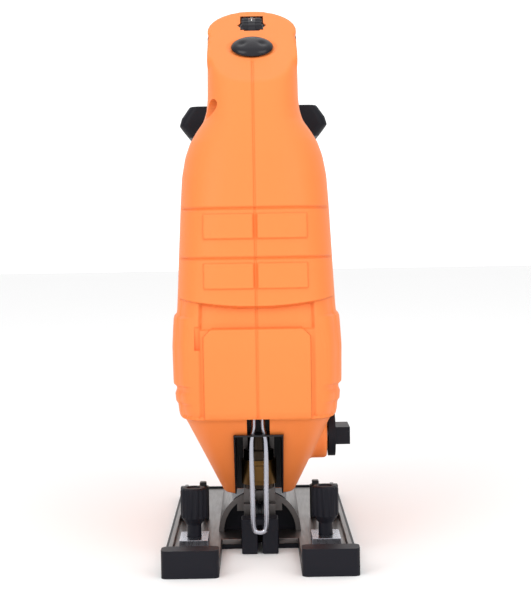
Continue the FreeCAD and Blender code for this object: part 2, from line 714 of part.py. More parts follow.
can_inner = of.motor_radius - of.can_thick
piece(ring_of("motor_can", of.motor_radius, can_inner, (0, of.can_back - of.can_front), 0,
              of.can_front, motor_height, "Y"), "motor_can")
magnet_ring = cut("magnet_ring",
                  rod("magnet_out", "Y", can_inner, (108, 152), 0, motor_height),
                  rod("magnet_in", "Y", can_inner - 2.6, (107, 153), 0, motor_height))
piece(cut("magnets", magnet_ring,
          block("magnet_gap_v", (-6, 6), (100, 160), (85, 145)),
          block("magnet_gap_h", (-25, 25), (100, 160), (motor_height - 3, motor_height + 3))),
      "magnets")
piece(cut("motor_end_cap",
          rod("cap_disc", "Y", of.motor_radius, (of.can_back, 175), 0, motor_height),
          rod("cap_bearing", "Y", of.bearing_radius, (170, 176), 0, motor_height),
          rod("cap_bore", "Y", of.shaft_radius + 1, (160, 176), 0, motor_height)),
      "motor_end_cap")
for name, front in (("front_bearing", of.bulkhead_front + 1), ("rear_bearing", size_of(170))):
    piece(ring_of(name, of.bearing_radius, of.shaft_radius + 0.03, (0, 5), 0, front,
                  motor_height, "Y"), name)
brushes = add("Part::Compound", "carbon_brushes")
brushes.Links = [block("brush_a", (9.3, 17), (154, 160), (motor_height - 3, motor_height + 3)),
                 block("brush_b", (-17, -9.3), (154, 160), (motor_height - 3, motor_height + 3))]
piece(brushes, "carbon_brushes")

piece(rod("motor_shaft", "Y", of.shaft_radius, (68, 174), 0, motor_height), "motor_shaft")


def armature_core():
    """A stack of laminations with twelve open slots."""
    core = solid_rod("Y", 17.0, 110, 150, 0, motor_z)
    slots = []
    for number in range(12):
        slot = solid_block((-1.2, 1.2), (109, 151), (motor_z + 9, motor_z + 18))
        slot.rotate(Vector(0, 0, motor_z), Vector(0, 1, 0), 30 * number)
        slots.append(slot)
    return core.cut(slots).cut(solid_rod("Y", float(of.shaft_radius), 105, 155, 0, motor_z))


piece(feature("armature_core", armature_core()), "armature_core")
piece(ring_of("commutator", 9.0, of.shaft_radius, (0, 10), 0, 152, motor_height, "Y"),
      "commutator")


def cooling_fan():
    """A backing disc with nine straight blades."""
    blades = solid_rod("Y", 19.5, 101.0, 102.4, 0, motor_z)
    blades = blades.fuse(solid_rod("Y", 6.5, 97, 101, 0, motor_z))
    for number in range(9):
        blade = solid_block((-0.7, 0.7), (97, 101.2), (motor_z + 5, motor_z + 19))
        blade.rotate(Vector(0, 0, motor_z), Vector(0, 1, 0), 40 * number)
        blades = blades.fuse(blade)
    return blades.cut(solid_rod("Y", float(of.shaft_radius), 95, 105, 0, motor_z))


piece(feature("fan", cooling_fan()), "fan")

# --------------------------------------------------------------- blade support

fork_front, fork_back = of.fork_depth - 2, of.fork_depth + 2
FORK_X = (3.2, 6.6)
fork_arms = []
for side in (-1, 1):
    across = sorted(side * edge_x for edge_x in FORK_X)
    fork_arms.append(block("fork_arm_%d" % side, across, (fork_front, fork_back), (10, 57)))
    fork_arms.append(block("fork_toe_%d" % side, across, (of.roller_depth - 2.5, fork_back),
                           (10, 18)))
    fork_arms.append(rod("fork_eye_%d" % side, "X", 4, across, of.fork_depth, of.fork_height))
fork = fuse("fork_body", *fork_arms,
            block("fork_web", (-FORK_X[1], FORK_X[1]), (of.fork_depth, fork_back), (28, 52)))
piece(cut("roller_fork", fork,
          rod("fork_bore", "X", 2.06, (-20, 20), of.fork_depth, of.fork_height),
          rod("fork_pin_bore", "X", 1.5, (-20, 20), of.roller_depth, of.roller_height)),
      "roller_fork")
piece(rod("fork_pivot", "X", 2, (-12, 12), of.fork_depth, of.fork_height), "fork_pivot")
piece(rod("roller_pin", "X", 1.5, (-6.6, 6.6), of.roller_depth, of.roller_height), "roller_pin")
piece(turned("guide_roller",
             [(1.56, -2.9), (of.roller_radius, -2.9), (of.roller_radius, -0.9),
              (of.roller_radius - 1.2, -0.7), (of.roller_radius - 1.2, 0.7),
              (of.roller_radius, 0.9), (of.roller_radius, 2.9), (1.56, 2.9)],
             0, of.roller_depth, of.roller_height, "X"), "guide_roller")

# -------------------------------------------------------------------- controls

piece(rod("selector_shaft", "X", of.spindle_radius, (13, 29.4), of.selector_depth,
          of.selector_height), "selector_shaft")
piece(fuse("selector_knob",
           rod("selector_disc", "X", of.selector_radius, (29.4, 32.4), of.selector_depth,
               of.selector_height),
           block("selector_grip", (32, 38.4), (of.selector_depth - 8.6, of.selector_depth + 8.6),
                 (of.selector_height - 3.6, of.selector_height + 3.6))), "selector_knob")

piece(ring_of("speed_dial", of.dial_radius, 1.6, (-of.dial_half, of.dial_half), 0,
              of.dial_depth, of.dial_height, "X"), "speed_dial")
piece(rod("dial_axle", "X", 1.5, (-16, 16), of.dial_depth, of.dial_height), "dial_axle")


def lock_button_shape():
    """A domed oval cap on a short stem that slides sideways in its slot."""
    dome = Part.makeSphere(1.0)
    stretch = FreeCAD.Matrix()
    stretch.scale(9.0, 7.2, 3.2)
    dome = dome.transformGeometry(stretch)
    cap = dome.common(Part.makeBox(20, 20, 6, Vector(-10, -10, 0.4)))
    stem = Part.makeBox(7.0, 6.0, 6.4, Vector(-3.5, -3.0, -5.0))
    return tilted(Part.makeCompound([cap.fuse(stem)]).Solids[0])


piece(feature("lock_button", lock_button_shape()), "lock_button")

trigger = padded("trigger_body",
                 [(98, 198), (138.5, 198), (138.5, 189), (128, 185), (112, 183), (102, 184),
                  (98, 189)], of.trigger_half)
piece(cut("trigger", trigger,
          rod("trigger_bore", "X", 1.56, (-20, 20), of.trigger_depth, of.trigger_height)),
      "trigger")
piece(rod("trigger_pin", "X", 1.5, (-13.5, 13.5), of.trigger_depth, of.trigger_height),
      "trigger_pin")
piece(block("switch_module", (-11, 11), (106, 143), (204.5, 219)), "switch_module")
piece(block("control_board", (-15, 15), (203, 236), (201, 202.6)), "control_board")

# ---------------------------------------------------------------- battery foot


def foot_shape():
    """The flared foot with two rails that a battery pack slides on from behind."""
    front, back = float(of.foot_front), float(of.foot_back)
    low, top = float(of.foot_low), float(of.foot_top)
    body = skin("plan", [(low, 33.0, front + 1, back - 1, 5, 6), (low + 6, 37.8, front, back, 5, 6),
                         (low + 10, 36.6, front, back - 1, 5, 6),
                         (top, 32.4, front + 1, back - 3, 5, 6)], 0.0)
    rail, lip, ceiling = float(of.rail_half), float(of.rail_lip), float(of.rail_top)
    body = body.cut(solid_block((-rail, rail), (front + 6, back + 5), (low + 3, ceiling)))
    body = body.cut(solid_block((lip - rail, rail - lip), (front + 6, back + 5),
                                (low - 1, low + 4)))
    return body.cut(solid_block((-11, 11), (207, 227), (ceiling - 1, top + 1)))


piece(feature("battery_foot", foot_shape()), "battery_foot")
piece(cut("terminal_block",
          block("terminal_body", (-16, 16), (204, 229), (183.4, of.rail_top)),
          block("terminal_cable", (-9, 9), (209, 225), (187, 190))), "terminal_block")
contacts = add("Part::Compound", "contacts")
contacts.Links = [block("contact_%d" % number, (-12.4 + 8 * number, -11.6 + 8 * number),
                        (229, 240), (183.8, 188.6)) for number in range(4)]
piece(contacts, "contacts")

# ------------------------------------------------------------------ wire guard


def guard_shape():
    """A hairpin of spring wire: two legs, a round bottom and a pinched top."""
    half, wire = float(of.guard_half), float(of.guard_radius)
    y = float(depth(of.guard_depth))
    low, high = float(of.guard_low) + wire, float(of.guard_high)
    pinch, waist = 1.5, high - 8
    path = Part.Wire([
        Part.LineSegment(Vector(-pinch, y, high), Vector(-pinch, y, waist + 3)).toShape(),
        Part.LineSegment(Vector(-pinch, y, waist + 3), Vector(-half, y, waist)).toShape(),
        Part.LineSegment(Vector(-half, y, waist), Vector(-half, y, low + half)).toShape(),
        Part.Arc(Vector(-half, y, low + half), Vector(0, y, low),
                 Vector(half, y, low + half)).toShape(),
        Part.LineSegment(Vector(half, y, low + half), Vector(half, y, waist)).toShape(),
        Part.LineSegment(Vector(half, y, waist), Vector(pinch, y, waist + 3)).toShape(),
        Part.LineSegment(Vector(pinch, y, waist + 3), Vector(pinch, y, high)).toShape()])
    profile = Part.Wire(Part.makeCircle(wire, Vector(-pinch, y, high), Vector(0, 0, 1)))
    return path.makePipeShell([profile], True, False, 2)


piece(feature("wire_guard", guard_shape()), "wire_guard")
clip = block("guard_clip_body", (-4.4, 4.4), (29.5, 41.5), (57.1, 66))
piece(cut("guard_clip", clip,
          *[rod("guard_socket_%d" % number, "Z", of.guard_radius, (50, of.guard_high), x,
                of.guard_depth) for number, x in enumerate((-1.5, 1.5))]), "guard_clip")

# ----------------------------------------------------------------------- write

doc.recompute()
faults = []
for thing in doc.Objects:
    if "Invalid" in thing.State or "Error" in thing.State:
        faults.append("%s: %s" % (thing.Label, thing.State))
for made in pieces:
    if made.Shape.isNull() or not made.Shape.isValid():
        faults.append("%s has no valid shape" % made.Label)
if faults:
    raise RuntimeError("; ".join(faults))

os.makedirs("parts", exist_ok=True)
for made in pieces:
    made.Shape.exportStep("parts/%s.step" % made.Label)
    size = made.Shape.BoundBox
    print("%-18s %2d solid %9.0f mm3  x %6.1f %6.1f  y %6.1f %6.1f  z %6.1f %6.1f" % (
        made.Label, len(made.Shape.Solids), made.Shape.Volume, size.XMin, size.XMax,
        size.YMin, size.YMax, size.ZMin, size.ZMax))
print(len(pieces), "sub-parts")
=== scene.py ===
# %% [markdown]
# A cordless jigsaw, dressed for a studio scene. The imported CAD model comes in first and
# is a fixed frame: its nodes say where everything is, which body each piece rides on and
# how big the whole may be. Nothing here moves or resizes a CAD part.

# %% Load the frame
import json
import math

import bmesh
import bpy
from mathutils import Matrix, Vector


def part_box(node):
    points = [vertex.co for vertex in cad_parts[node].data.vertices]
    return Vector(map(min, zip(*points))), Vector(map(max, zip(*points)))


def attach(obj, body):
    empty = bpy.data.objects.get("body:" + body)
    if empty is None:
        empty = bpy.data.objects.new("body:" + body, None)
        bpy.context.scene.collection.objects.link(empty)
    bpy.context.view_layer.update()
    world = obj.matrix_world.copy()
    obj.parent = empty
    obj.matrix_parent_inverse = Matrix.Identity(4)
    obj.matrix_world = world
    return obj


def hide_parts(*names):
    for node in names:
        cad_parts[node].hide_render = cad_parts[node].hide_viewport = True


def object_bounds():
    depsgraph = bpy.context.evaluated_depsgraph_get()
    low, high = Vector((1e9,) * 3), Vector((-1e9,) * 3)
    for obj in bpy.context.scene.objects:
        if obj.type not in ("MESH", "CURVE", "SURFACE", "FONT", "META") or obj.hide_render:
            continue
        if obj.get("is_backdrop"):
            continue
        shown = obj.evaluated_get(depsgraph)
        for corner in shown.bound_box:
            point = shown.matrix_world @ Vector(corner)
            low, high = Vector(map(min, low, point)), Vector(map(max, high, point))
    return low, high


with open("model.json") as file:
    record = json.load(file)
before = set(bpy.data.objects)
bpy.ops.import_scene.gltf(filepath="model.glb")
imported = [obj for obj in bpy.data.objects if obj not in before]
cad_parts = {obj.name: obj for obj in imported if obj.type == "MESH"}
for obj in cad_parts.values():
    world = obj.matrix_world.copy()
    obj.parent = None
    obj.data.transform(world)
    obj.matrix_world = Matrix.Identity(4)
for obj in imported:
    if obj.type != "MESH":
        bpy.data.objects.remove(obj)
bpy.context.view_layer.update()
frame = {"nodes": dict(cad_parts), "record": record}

# %% [markdown]
# Blender works in metres, but a tool maker thinks in millimetres. Every shape below is
# drawn in millimetres and shrunk once, when it becomes an object. Depths along the tool
# are counted from the front lip of the shoe, as a maker would measure them on the bench.

# %% Units and helpers for places
MM = 0.001
FRONT_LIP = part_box("overshoe")[0].y / MM


def behind(distance):
    """Y in millimetres of a point this far behind the front lip of the shoe."""
    return FRONT_LIP + distance


print("front lip at y =", round(FRONT_LIP, 2), "mm")

# %% [markdown]
# A finish begins with its real colour, which people write as a hex code for a screen.
# Cycles calculates in linear light, so one function turns the code into linear numbers,
# and one small function adds a shader node with its settings and its links.


# %% Colour and node helpers
def linear(code):
    """Linear RGBA of an sRGB hex colour such as FF8A3C."""
    values = [int(code[start:start + 2], 16) / 255 for start in (0, 2, 4)]
    return [v / 12.92 if v <= 0.04045 else ((v + 0.055) / 1.055) ** 2.4 for v in values] + [1.0]


def add(tree, kind, inputs=None, **settings):
    """Add a node: settings are its own options, inputs are socket values or links."""
    node = tree.nodes.new(kind)
    for name, value in settings.items():
        setattr(node, name, value)
    for socket, value in (inputs or {}).items():
        if isinstance(value, bpy.types.NodeSocket):
            tree.links.new(value, node.inputs[socket])
        else:
            node.inputs[socket].default_value = value
    return node


def finish_named(name, **sockets):
    """A new material; keyword names are Principled sockets with spaces as underscores."""
    material = bpy.data.materials.new(name)
    material.use_nodes = True
    tree = material.node_tree
    shader = tree.nodes["Principled BSDF"]
    for socket, value in sockets.items():
        shader.inputs[socket.replace("_", " ")].default_value = value
    place = add(tree, "ShaderNodeTexCoord").outputs["Object"]
    return material, tree, shader, place


print("mid grey, 808080, is %.3f in linear light" % linear("808080")[0])

# %% [markdown]
# Nothing real is one flat colour or perfectly smooth. Two helpers give every finish a little
# life: one lets the colour drift between near shades, and one raises a fine grain as bump.
# Both are told their size in millimetres, so that a finish can be matched to a real one.


# %% Mottle and grain
def grain_per_metre(size_mm):
    """Noise scale that gives blobs about this many millimetres across."""
    return 1000.0 / (2.0 * size_mm)


def mottled(tree, shader, place, low, high, size_mm):
    """Base colour that drifts between two near shades in soft clouds."""
    cloud = add(tree, "ShaderNodeTexNoise", {"Vector": place, "Scale": grain_per_metre(size_mm),
                                            "Detail": 3.0})
    blend = add(tree, "ShaderNodeMix", {0: cloud.outputs["Fac"], 6: linear(low), 7: linear(high)},
                data_type="RGBA")
    tree.links.new(blend.outputs[2], shader.inputs["Base Color"])


def pitted(tree, shader, place, size_mm, depth_mm, strength=1.0, stretch=None):
    """Fine bump from noise; a stretch draws the grain out into brushed lines."""
    if stretch:
        place = add(tree, "ShaderNodeMapping", {"Vector": place, "Scale": stretch}).outputs[0]
    grain = add(tree, "ShaderNodeTexNoise", {"Vector": place, "Scale": grain_per_metre(size_mm),
                                            "Detail": 2.0})
    bump = add(tree, "ShaderNodeBump", {"Height": grain.outputs["Fac"], "Strength": strength,
                                        "Distance": depth_mm * MM})
    tree.links.new(bump.outputs[0], shader.inputs["Normal"])
    return grain


print("a grain of 0.5 mm needs a noise scale of", grain_per_metre(0.5))

# %% [markdown]
# The casing is glass-filled nylon dyed orange. Its mould was spark eroded, which leaves a
# fine matt grain that breaks every highlight into a soft glow. The real grain is about
# 0.1 mm, too fine to show, so it is drawn at half a millimetre and kept shallow.

# %% Orange casing
orange, tree, shader, place = finish_named("spark eroded orange nylon", Roughness=0.5,
                                           Specular_IOR_Level=0.3)
mottled(tree, shader, place, "F3833F", "F78945", 30.0)
# Painted shade: the colour darkens towards B4511F in the grooves and along the steps, by the
# crease attribute.
groove = add(tree, "ShaderNodeAttribute", attribute_name="crease")
share = add(tree, "ShaderNodeMath", {0: groove.outputs["Fac"], 1: 0.26}, operation="MULTIPLY")
unshaded = shader.inputs["Base Color"].links[0].from_socket
crease_shade = add(tree, "ShaderNodeMix", {0: share.outputs[0], 6: unshaded, 7: linear("B4511F")},
           data_type="RGBA")
tree.links.new(crease_shade.outputs[2], shader.inputs["Base Color"])
pitted(tree, shader, place, 0.5, 0.05, 0.35)
print("finish:", orange.name)

# %% [markdown]
# The black parts are nylon too, but carbon black soaks up the light and what remains is a
# bluish sheen on a slightly rougher skin. The soft flanks of the handle are moulded
# rubber: rougher again, with a coarser leathery grain that a palm can feel.

# %% Black nylon and rubber
black, tree, shader, place = finish_named("moulded black nylon", Roughness=0.5,
                                          Specular_IOR_Level=0.2)
mottled(tree, shader, place, "101018", "16161F", 12.0)
pitted(tree, shader, place, 0.5, 0.06, 0.4)

gloss_black, tree, shader, place = finish_named("polished black nylon", Roughness=0.22,
                                                Specular_IOR_Level=0.3)
mottled(tree, shader, place, "15141A", "1C1B22", 9.0)
pitted(tree, shader, place, 0.8, 0.02, 0.3)

rubber, tree, shader, place = finish_named("leather grained rubber", Roughness=0.72,
                                           Specular_IOR_Level=0.25)
mottled(tree, shader, place, "141418", "1D1D21", 6.0)
pitted(tree, shader, place, 0.9, 0.16, 0.7)
print("finishes:", black.name, "|", gloss_black.name, "|", rubber.name)

# %% [markdown]
# Sheet steel parts are zinc plated: a warm grey metal with faint rolling lines along the
# sheet. Drawn wire and turned pins are brighter and finer. A stretched noise gives the
# lines, and the same noise moves the roughness a little so that highlights look drawn out.


# %% Metals
def metal(name, low, high, roughness, grain_mm, stretch, depth_mm=0.02):
    """A bare metal whose grain runs along the axis with the smallest stretch."""
    material, tree, shader, place = finish_named(name, Metallic=1.0, Roughness=roughness)
    mottled(tree, shader, place, low, high, 7.0)
    grain = pitted(tree, shader, place, grain_mm, depth_mm, 0.5, stretch)
    spread = add(tree, "ShaderNodeMapRange", {"Value": grain.outputs["Fac"],
                                              "To Min": roughness - 0.07,
                                              "To Max": roughness + 0.1})
    tree.links.new(spread.outputs[0], shader.inputs["Roughness"])
    return material


plated_steel = metal("zinc plated rolled steel", "615C5D", "77726F", 0.36, 0.5, (1, 0.08, 1))
bright_steel = metal("drawn bright steel", "A3A4AE", "BCBDC6", 0.26, 0.4, (1, 1, 0.08), 0.01)
gear_steel = metal("sintered gear steel", "6E6D70", "858487", 0.42, 0.6, (1, 1, 1))
cast_alloy = metal("die cast aluminium", "A3A5A8", "B9BBBE", 0.48, 1.2, (1, 1, 1), 0.08)
bronze = metal("sintered bronze", "9C7346", "B98B56", 0.38, 0.5, (1, 1, 1))
copper = metal("turned copper", "B4714A", "CE8A60", 0.3, 0.4, (1, 0.1, 1))
# The next two are darkened copies of brass and steel: painted shade for the parts under the nose.
shade_darkened_brass = metal("turned brass darkened as painted shade", "4E3A22", "7A5A32", 0.38, 0.5, (1, 1, 0.3))
shade_darkened_steel = metal("tool steel darkened as painted shade", "2A2420", "3E342B", 0.35, 0.5, (1, 1, 0.2))
zinc_can = metal("bright zinc motor can", "7E8184", "94979A", 0.36, 0.5, (1, 0.08, 1))

dark_steel, tree, shader, place = finish_named("phosphated black steel", Metallic=0.3,
                                               Roughness=0.42)
mottled(tree, shader, place, "0E0E13", "17171D", 4.0)
pitted(tree, shader, place, 0.4, 0.04, 0.5)

ferrite, tree, shader, place = finish_named("pressed ferrite", Roughness=0.7)
mottled(tree, shader, place, "232326", "303034", 3.0)
pitted(tree, shader, place, 0.4, 0.05, 0.6)

lacquer, tree, shader, place = finish_named("lacquered circuit board", Roughness=0.3)
mottled(tree, shader, place, "0F4A28", "16602F", 3.0)
pitted(tree, shader, place, 0.5, 0.03, 0.4)
print("metal and dark finishes ready")

# %% [markdown]
# Each record slot is one real material, so a table from slot to finish dresses every CAD
# node at once. Pieces remade below take their finish from the same table.

# %% Dress every CAD node
SLOT_FINISH = {
    "casing_orange": orange, "black_plastic": black, "soft_grip": rubber,
    "plate_steel": plated_steel, "bright_steel": bright_steel, "dark_steel": dark_steel,
    "motor_steel": zinc_can, "gear_steel": gear_steel, "cast_aluminium": cast_alloy,
    "bronze": bronze, "copper": copper, "magnet": ferrite, "carbon": ferrite,
    "board_green": lacquer,
}
slot_of = {part["node"]: part["material_slot"] for part in frame["record"]["subparts"]}
body_of = {node: body for body, nodes in frame["record"]["behaviour"]["bodies"].items()
           for node in nodes}
finish_of = {node: SLOT_FINISH[slot] for node, slot in slot_of.items()}
# The parts round the blade get their own finishes; the plunger, clamp and collar get dark copies
# of steel and brass, painted shade for the shade under the nose.
finish_of.update({
    "guide_roller": dark_steel, "roller_pin": dark_steel, "roller_fork": plated_steel,
    "plunger_rod": shade_darkened_steel, "blade_clamp": shade_darkened_steel, "clamp_collar": shade_darkened_brass,
    "guide_bridge_left": bright_steel, "guide_bridge_right": bright_steel,
})
for node, thing in frame["nodes"].items():
    thing.data.materials.clear()
    thing.data.materials.append(finish_of[node])
print("dressed", len(frame["nodes"]), "CAD nodes")

# %% [markdown]
# A new piece is drawn with bmesh operators. This helper is the last step for each one: it
# merges doubles, points faces outwards, shrinks millimetres to metres, shades it smooth
# with crisp creases, hangs it on the empty of the body it rides on and hides the CAD node
# that it replaces.


# %% Turn a bmesh into a riding piece
def make_piece(name, shape, finish, node=None, body=None, crease=35.0, tidy=True):
    """Make an object from a bmesh in millimetres; `node` is the CAD node it stands for."""
    if tidy:
        bmesh.ops.remove_doubles(shape, verts=shape.verts, dist=0.002)
        bmesh.ops.recalc_face_normals(shape, faces=shape.faces)
    bmesh.ops.scale(shape, vec=(MM, MM, MM), verts=shape.verts)
    mesh = bpy.data.meshes.new(name)
    shape.to_mesh(mesh)
    shape.free()
    mesh.shade_smooth()
    mesh.set_sharp_from_angle(angle=math.radians(crease))
    mesh.materials.append(finish)
    piece = bpy.data.objects.new(name, mesh)
    bpy.context.scene.collection.objects.link(piece)
    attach(piece, body or body_of[node])
    if node:
        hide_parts(node)
    print("%-22s %6d faces" % (name, len(mesh.polygons)))
    return piece

# %% [markdown]
# Real edges are never knife sharp: a press rounds them, a mould needs a radius. Many CAD
# nodes already have the right shape and only lack that. A copy of such a node is merged
# into clean faces, and a Bevel modifier rounds its edges by a width in millimetres.

# %% Soften the edges of simple nodes
SOFTENED = {
    "shoe_plate": 0.35, "saddle": 0.3, "overshoe": 0.9, "splinter_insert": 0.4,
    "guide_bridge_left": 0.35, "guide_bridge_right": 0.35, "bar_keeper_left": 0.5,
    "bar_keeper_right": 0.5, "battery_foot": 0.7, "terminal_block": 0.5, "trigger": 1.2,
    "selector_knob": 1.4, "gear_case": 0.5, "roller_fork": 0.4, "blade_clamp": 0.3,
    "clamp_collar": 0.4, "housing_screws": 0.2, "yoke": 0.4, "guard_clip": 0.4,
    "plunger_rod": 0.2, "lower_bush": 0.2, "roller_pin": 0.2, "contacts": 0.1,
}


def cad_copy(node):
    """A clean bmesh copy of a CAD node, in millimetres."""
    shape = bmesh.new()
    shape.from_mesh(frame["nodes"][node].data)
    bmesh.ops.scale(shape, vec=(1 / MM,) * 3, verts=shape.verts)
    bmesh.ops.remove_doubles(shape, verts=shape.verts, dist=0.001)
    bmesh.ops.dissolve_limit(shape, angle_limit=math.radians(1.0), verts=shape.verts,
                             edges=shape.edges)
    return shape


def round_edges(piece, width, angle=30.0):
    """Round the sharp edges of a piece with a live Bevel modifier."""
    bevel = piece.modifiers.new("round edges", "BEVEL")
    bevel.width = width * MM
    bevel.segments = 3
    bevel.limit_method = "ANGLE"
    bevel.angle_limit = math.radians(angle)
    bevel.harden_normals = True


for node, width in SOFTENED.items():
    piece = make_piece(node + "_soft", cad_copy(node), finish_of[node], node, tidy=False)
    round_edges(piece, width)
print("softened", len(SOFTENED), "nodes")

# %% [markdown]
# The casing is the face of the tool: two moulded halves whose forms flow into each other.
# In clay one would rough out the trunk, neck, grip, pillar and tail as separate lumps and
# then wipe the joints smooth. Here each lump is a loft through rounded rings, a voxel
# remesh wipes them into one skin, and a little smoothing gives the mould's soft radii.

# %% Loft rounded rings into a lump
RING_POINTS = 56
STEPS_BETWEEN_STATIONS = 4


def rounded_ring(shape, upright, level, half, low, high, squareness):
    """One closed ring of the loft: flat at a height, or upright at a depth."""
    ring = bmesh.ops.create_circle(shape, segments=RING_POINTS, radius=1.0)["verts"]
    middle, reach = (low + high) / 2, (high - low) / 2
    for vert in ring:
        across = half * math.copysign(abs(vert.co.x) ** (2 / squareness), vert.co.x)
        along = middle + reach * math.copysign(abs(vert.co.y) ** (2 / squareness), vert.co.y)
        vert.co = (across, behind(level), along) if upright else (across, behind(along), level)
    return list({edge for vert in ring for edge in vert.link_edges})


def lump(stations, upright=False, grow=0.0):
    """Loft through stations of (level, half width, low, high, squareness)."""
    shape = bmesh.new()
    levels = []
    for first, second in zip(stations, stations[1:]):
        for step in range(STEPS_BETWEEN_STATIONS):
            share = step / STEPS_BETWEEN_STATIONS
            levels.append([a + (b - a) * share for a, b in zip(first, second)])
    levels.append(stations[-1])
    rings = [rounded_ring(shape, upright, level, half + grow, low - grow, high + grow, square)
             for level, half, low, high, square in levels]
    for lower, upper in zip(rings, rings[1:]):
        bmesh.ops.bridge_loops(shape, edges=lower + upper)
    for end in (rings[0], rings[-1]):
        bmesh.ops.contextual_create(shape, geom=end)
    bmesh.ops.recalc_face_normals(shape, faces=shape.faces)
    return shape

# %% [markdown]
# Each lump is described by a few stations, as a boat builder describes a hull. The trunk,
# chin, pillar and tail are lofted upwards and the grip, crown and barrel are lofted from
# front to back, so that the stations stay few wherever the form runs straight.

# %% Stations of the casing
# Height, half width, front and back (behind the lip), squareness of the ring.
TRUNK = [(57.0, 32.0, 24.2, 110, 5.5), (60.0, 32.6, 23.2, 110, 5.5),
         (72.0, 33.5, 22.8, 110, 5.5), (86.0, 33.7, 22.8, 110, 5.5),
         (96.0, 33.2, 23.4, 110, 5.0), (102.0, 32.7, 24.6, 110, 4.6),
         (123.0, 31.8, 26.6, 108, 4.0), (143.0, 30.9, 29.2, 106, 3.6),
         (155.0, 30.2, 32.0, 103, 3.3), (163.0, 28.8, 34.6, 100, 3.1),
         (169.0, 26.8, 37.0, 98, 3.0), (174.0, 23.9, 39.6, 97, 2.9),
         (178.0, 21.0, 41.6, 96, 2.9), (182.5, 19.6, 44.0, 96, 3.0),
         (188.0, 19.1, 47.0, 96, 3.2), (200.0, 19.1, 54.0, 99, 3.4),
         (214.0, 19.1, 62.0, 105, 3.6)]
CHIN = [(22.6, 15.4, 54.0, 150, 7.0), (40.0, 23.2, 40.0, 152, 6.5),
        (57.5, 31.2, 25.6, 156, 6.0)]
# Depth, half width, bottom and top, squareness.
GRIP = [(64.0, 19.1, 190.0, 222.0, 3.0), (92.0, 19.2, 191.3, 221.5, 3.0),
        (120.0, 19.0, 191.0, 220.0, 3.0), (150.0, 18.9, 189.0, 216.5, 3.0),
        (178.0, 18.6, 184.6, 212.0, 3.0), (196.0, 18.6, 184.8, 209.0, 3.0)]
CROWN = [(62.0, 19.1, 208.0, 229.0, 2.0), (92.0, 19.2, 207.5, 228.4, 2.0),
         (120.0, 19.0, 206.0, 226.8, 2.1), (150.0, 18.9, 202.0, 222.8, 2.2),
         (178.0, 18.6, 197.0, 217.6, 2.3), (196.0, 18.6, 194.0, 214.4, 2.4)]
BARREL = [(72.0, 32.6, 57.5, 144.8, 4.5), (140.0, 32.6, 58.5, 144.8, 4.5),
          (156.0, 32.6, 63.0, 144.6, 4.2), (172.0, 30.6, 75.0, 143.5, 3.6),
          (182.0, 27.5, 86.0, 140.0, 3.2), (189.0, 21.0, 99.0, 132.0, 2.8)]
PILLAR = [(136.0, 24.0, 152.0, 187.0, 3.4), (150.0, 20.5, 162.5, 189.5, 3.2),
          (166.0, 18.4, 170.5, 192.5, 3.2), (180.0, 18.2, 172.5, 194.6, 3.6),
          (196.5, 19.6, 172.0, 194.8, 4.5)]
TAIL = [(196.1, 23.2, 172.0, 243.0, 6.0), (205.0, 21.8, 170.0, 238.5, 5.0),
        (211.0, 18.5, 167.0, 228.0, 4.0), (214.0, 14.0, 164.0, 219.0, 3.4)]
print("stations:", sum(map(len, (TRUNK, CHIN, GRIP, CROWN, BARREL, PILLAR, TAIL))))

# %% [markdown]
# The casing has to meet the CAD parts exactly where they are. So the height of the bevel
# axle, the radius of its seat and the middles of the dial and of the selector are read from
# the frame. The brow is the sloped plane over the nose that carries the button and the dial.

# %% Places on the casing
BROW_ANGLE = math.radians(39.5)
BROW_FOOT = Vector((0, behind(58.0), 200.0))
BROW_NORMAL = Vector((0, -math.sin(BROW_ANGLE), math.cos(BROW_ANGLE)))
BUTTON = Vector((0, behind(69.8), 209.7))
TO_BROW = Matrix.Translation(BUTTON) @ Matrix.Rotation(BROW_ANGLE, 4, "X")
SEAT_GAP = 0.6


def middle_of(node):
    """Centre of a CAD node's box, in millimetres."""
    node_low, node_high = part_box(node)
    return (node_low + node_high) / 2 / MM


AXLE_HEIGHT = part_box("saddle")[0].z / MM
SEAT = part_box("saddle")[1].x / MM + SEAT_GAP
DIAL = middle_of("speed_dial")
SELECTOR = middle_of("selector_shaft")
print("saddle seat radius %.1f mm, dial at height %.1f mm" % (SEAT, DIAL.z))

# %% [markdown]
# Solid tools do the cutting, and they are made like the shapes that they leave: a box for a
# slot, a rod for a bore, and a short tapered rod for a well in the sloped brow. A slice with
# a plane leaves an open rim, which is filled at once so that every solid stays closed.

# %% Cutting tools
QUARTER = math.pi / 2
BEZEL_SIDES, BEZEL_SQUEEZE, BEZEL_UP_SLOPE = 6, 0.8, 17.7


def cut_box(x, deep, z):
    """A box tool between two corners, its depths counted behind the front lip."""
    tool = bmesh.new()
    size = Vector((x[1] - x[0], deep[1] - deep[0], z[1] - z[0]))
    middle = Vector((sum(x) / 2, behind(sum(deep) / 2), sum(z) / 2))
    bmesh.ops.create_cube(tool, size=1.0, matrix=Matrix.Translation(middle)
                          @ Matrix.Diagonal(size).to_4x4())
    return tool


def cut_rod(radius, length, middle, axis, segments=64):
    """A round tool about its middle, lying along the axis "X" or "Y"."""
    tool = bmesh.new()
    turn = Matrix.Rotation(QUARTER, 4, "Y" if axis == "X" else "X")
    bmesh.ops.create_cone(tool, cap_ends=True, segments=segments, radius1=radius,
                          radius2=radius, depth=length,
                          matrix=Matrix.Translation(middle) @ turn)
    return tool


def on_brow(tool):
    """Move a tool drawn about the origin onto the sloped brow, over the button."""
    bmesh.ops.transform(tool, matrix=TO_BROW, verts=tool.verts)
    return tool


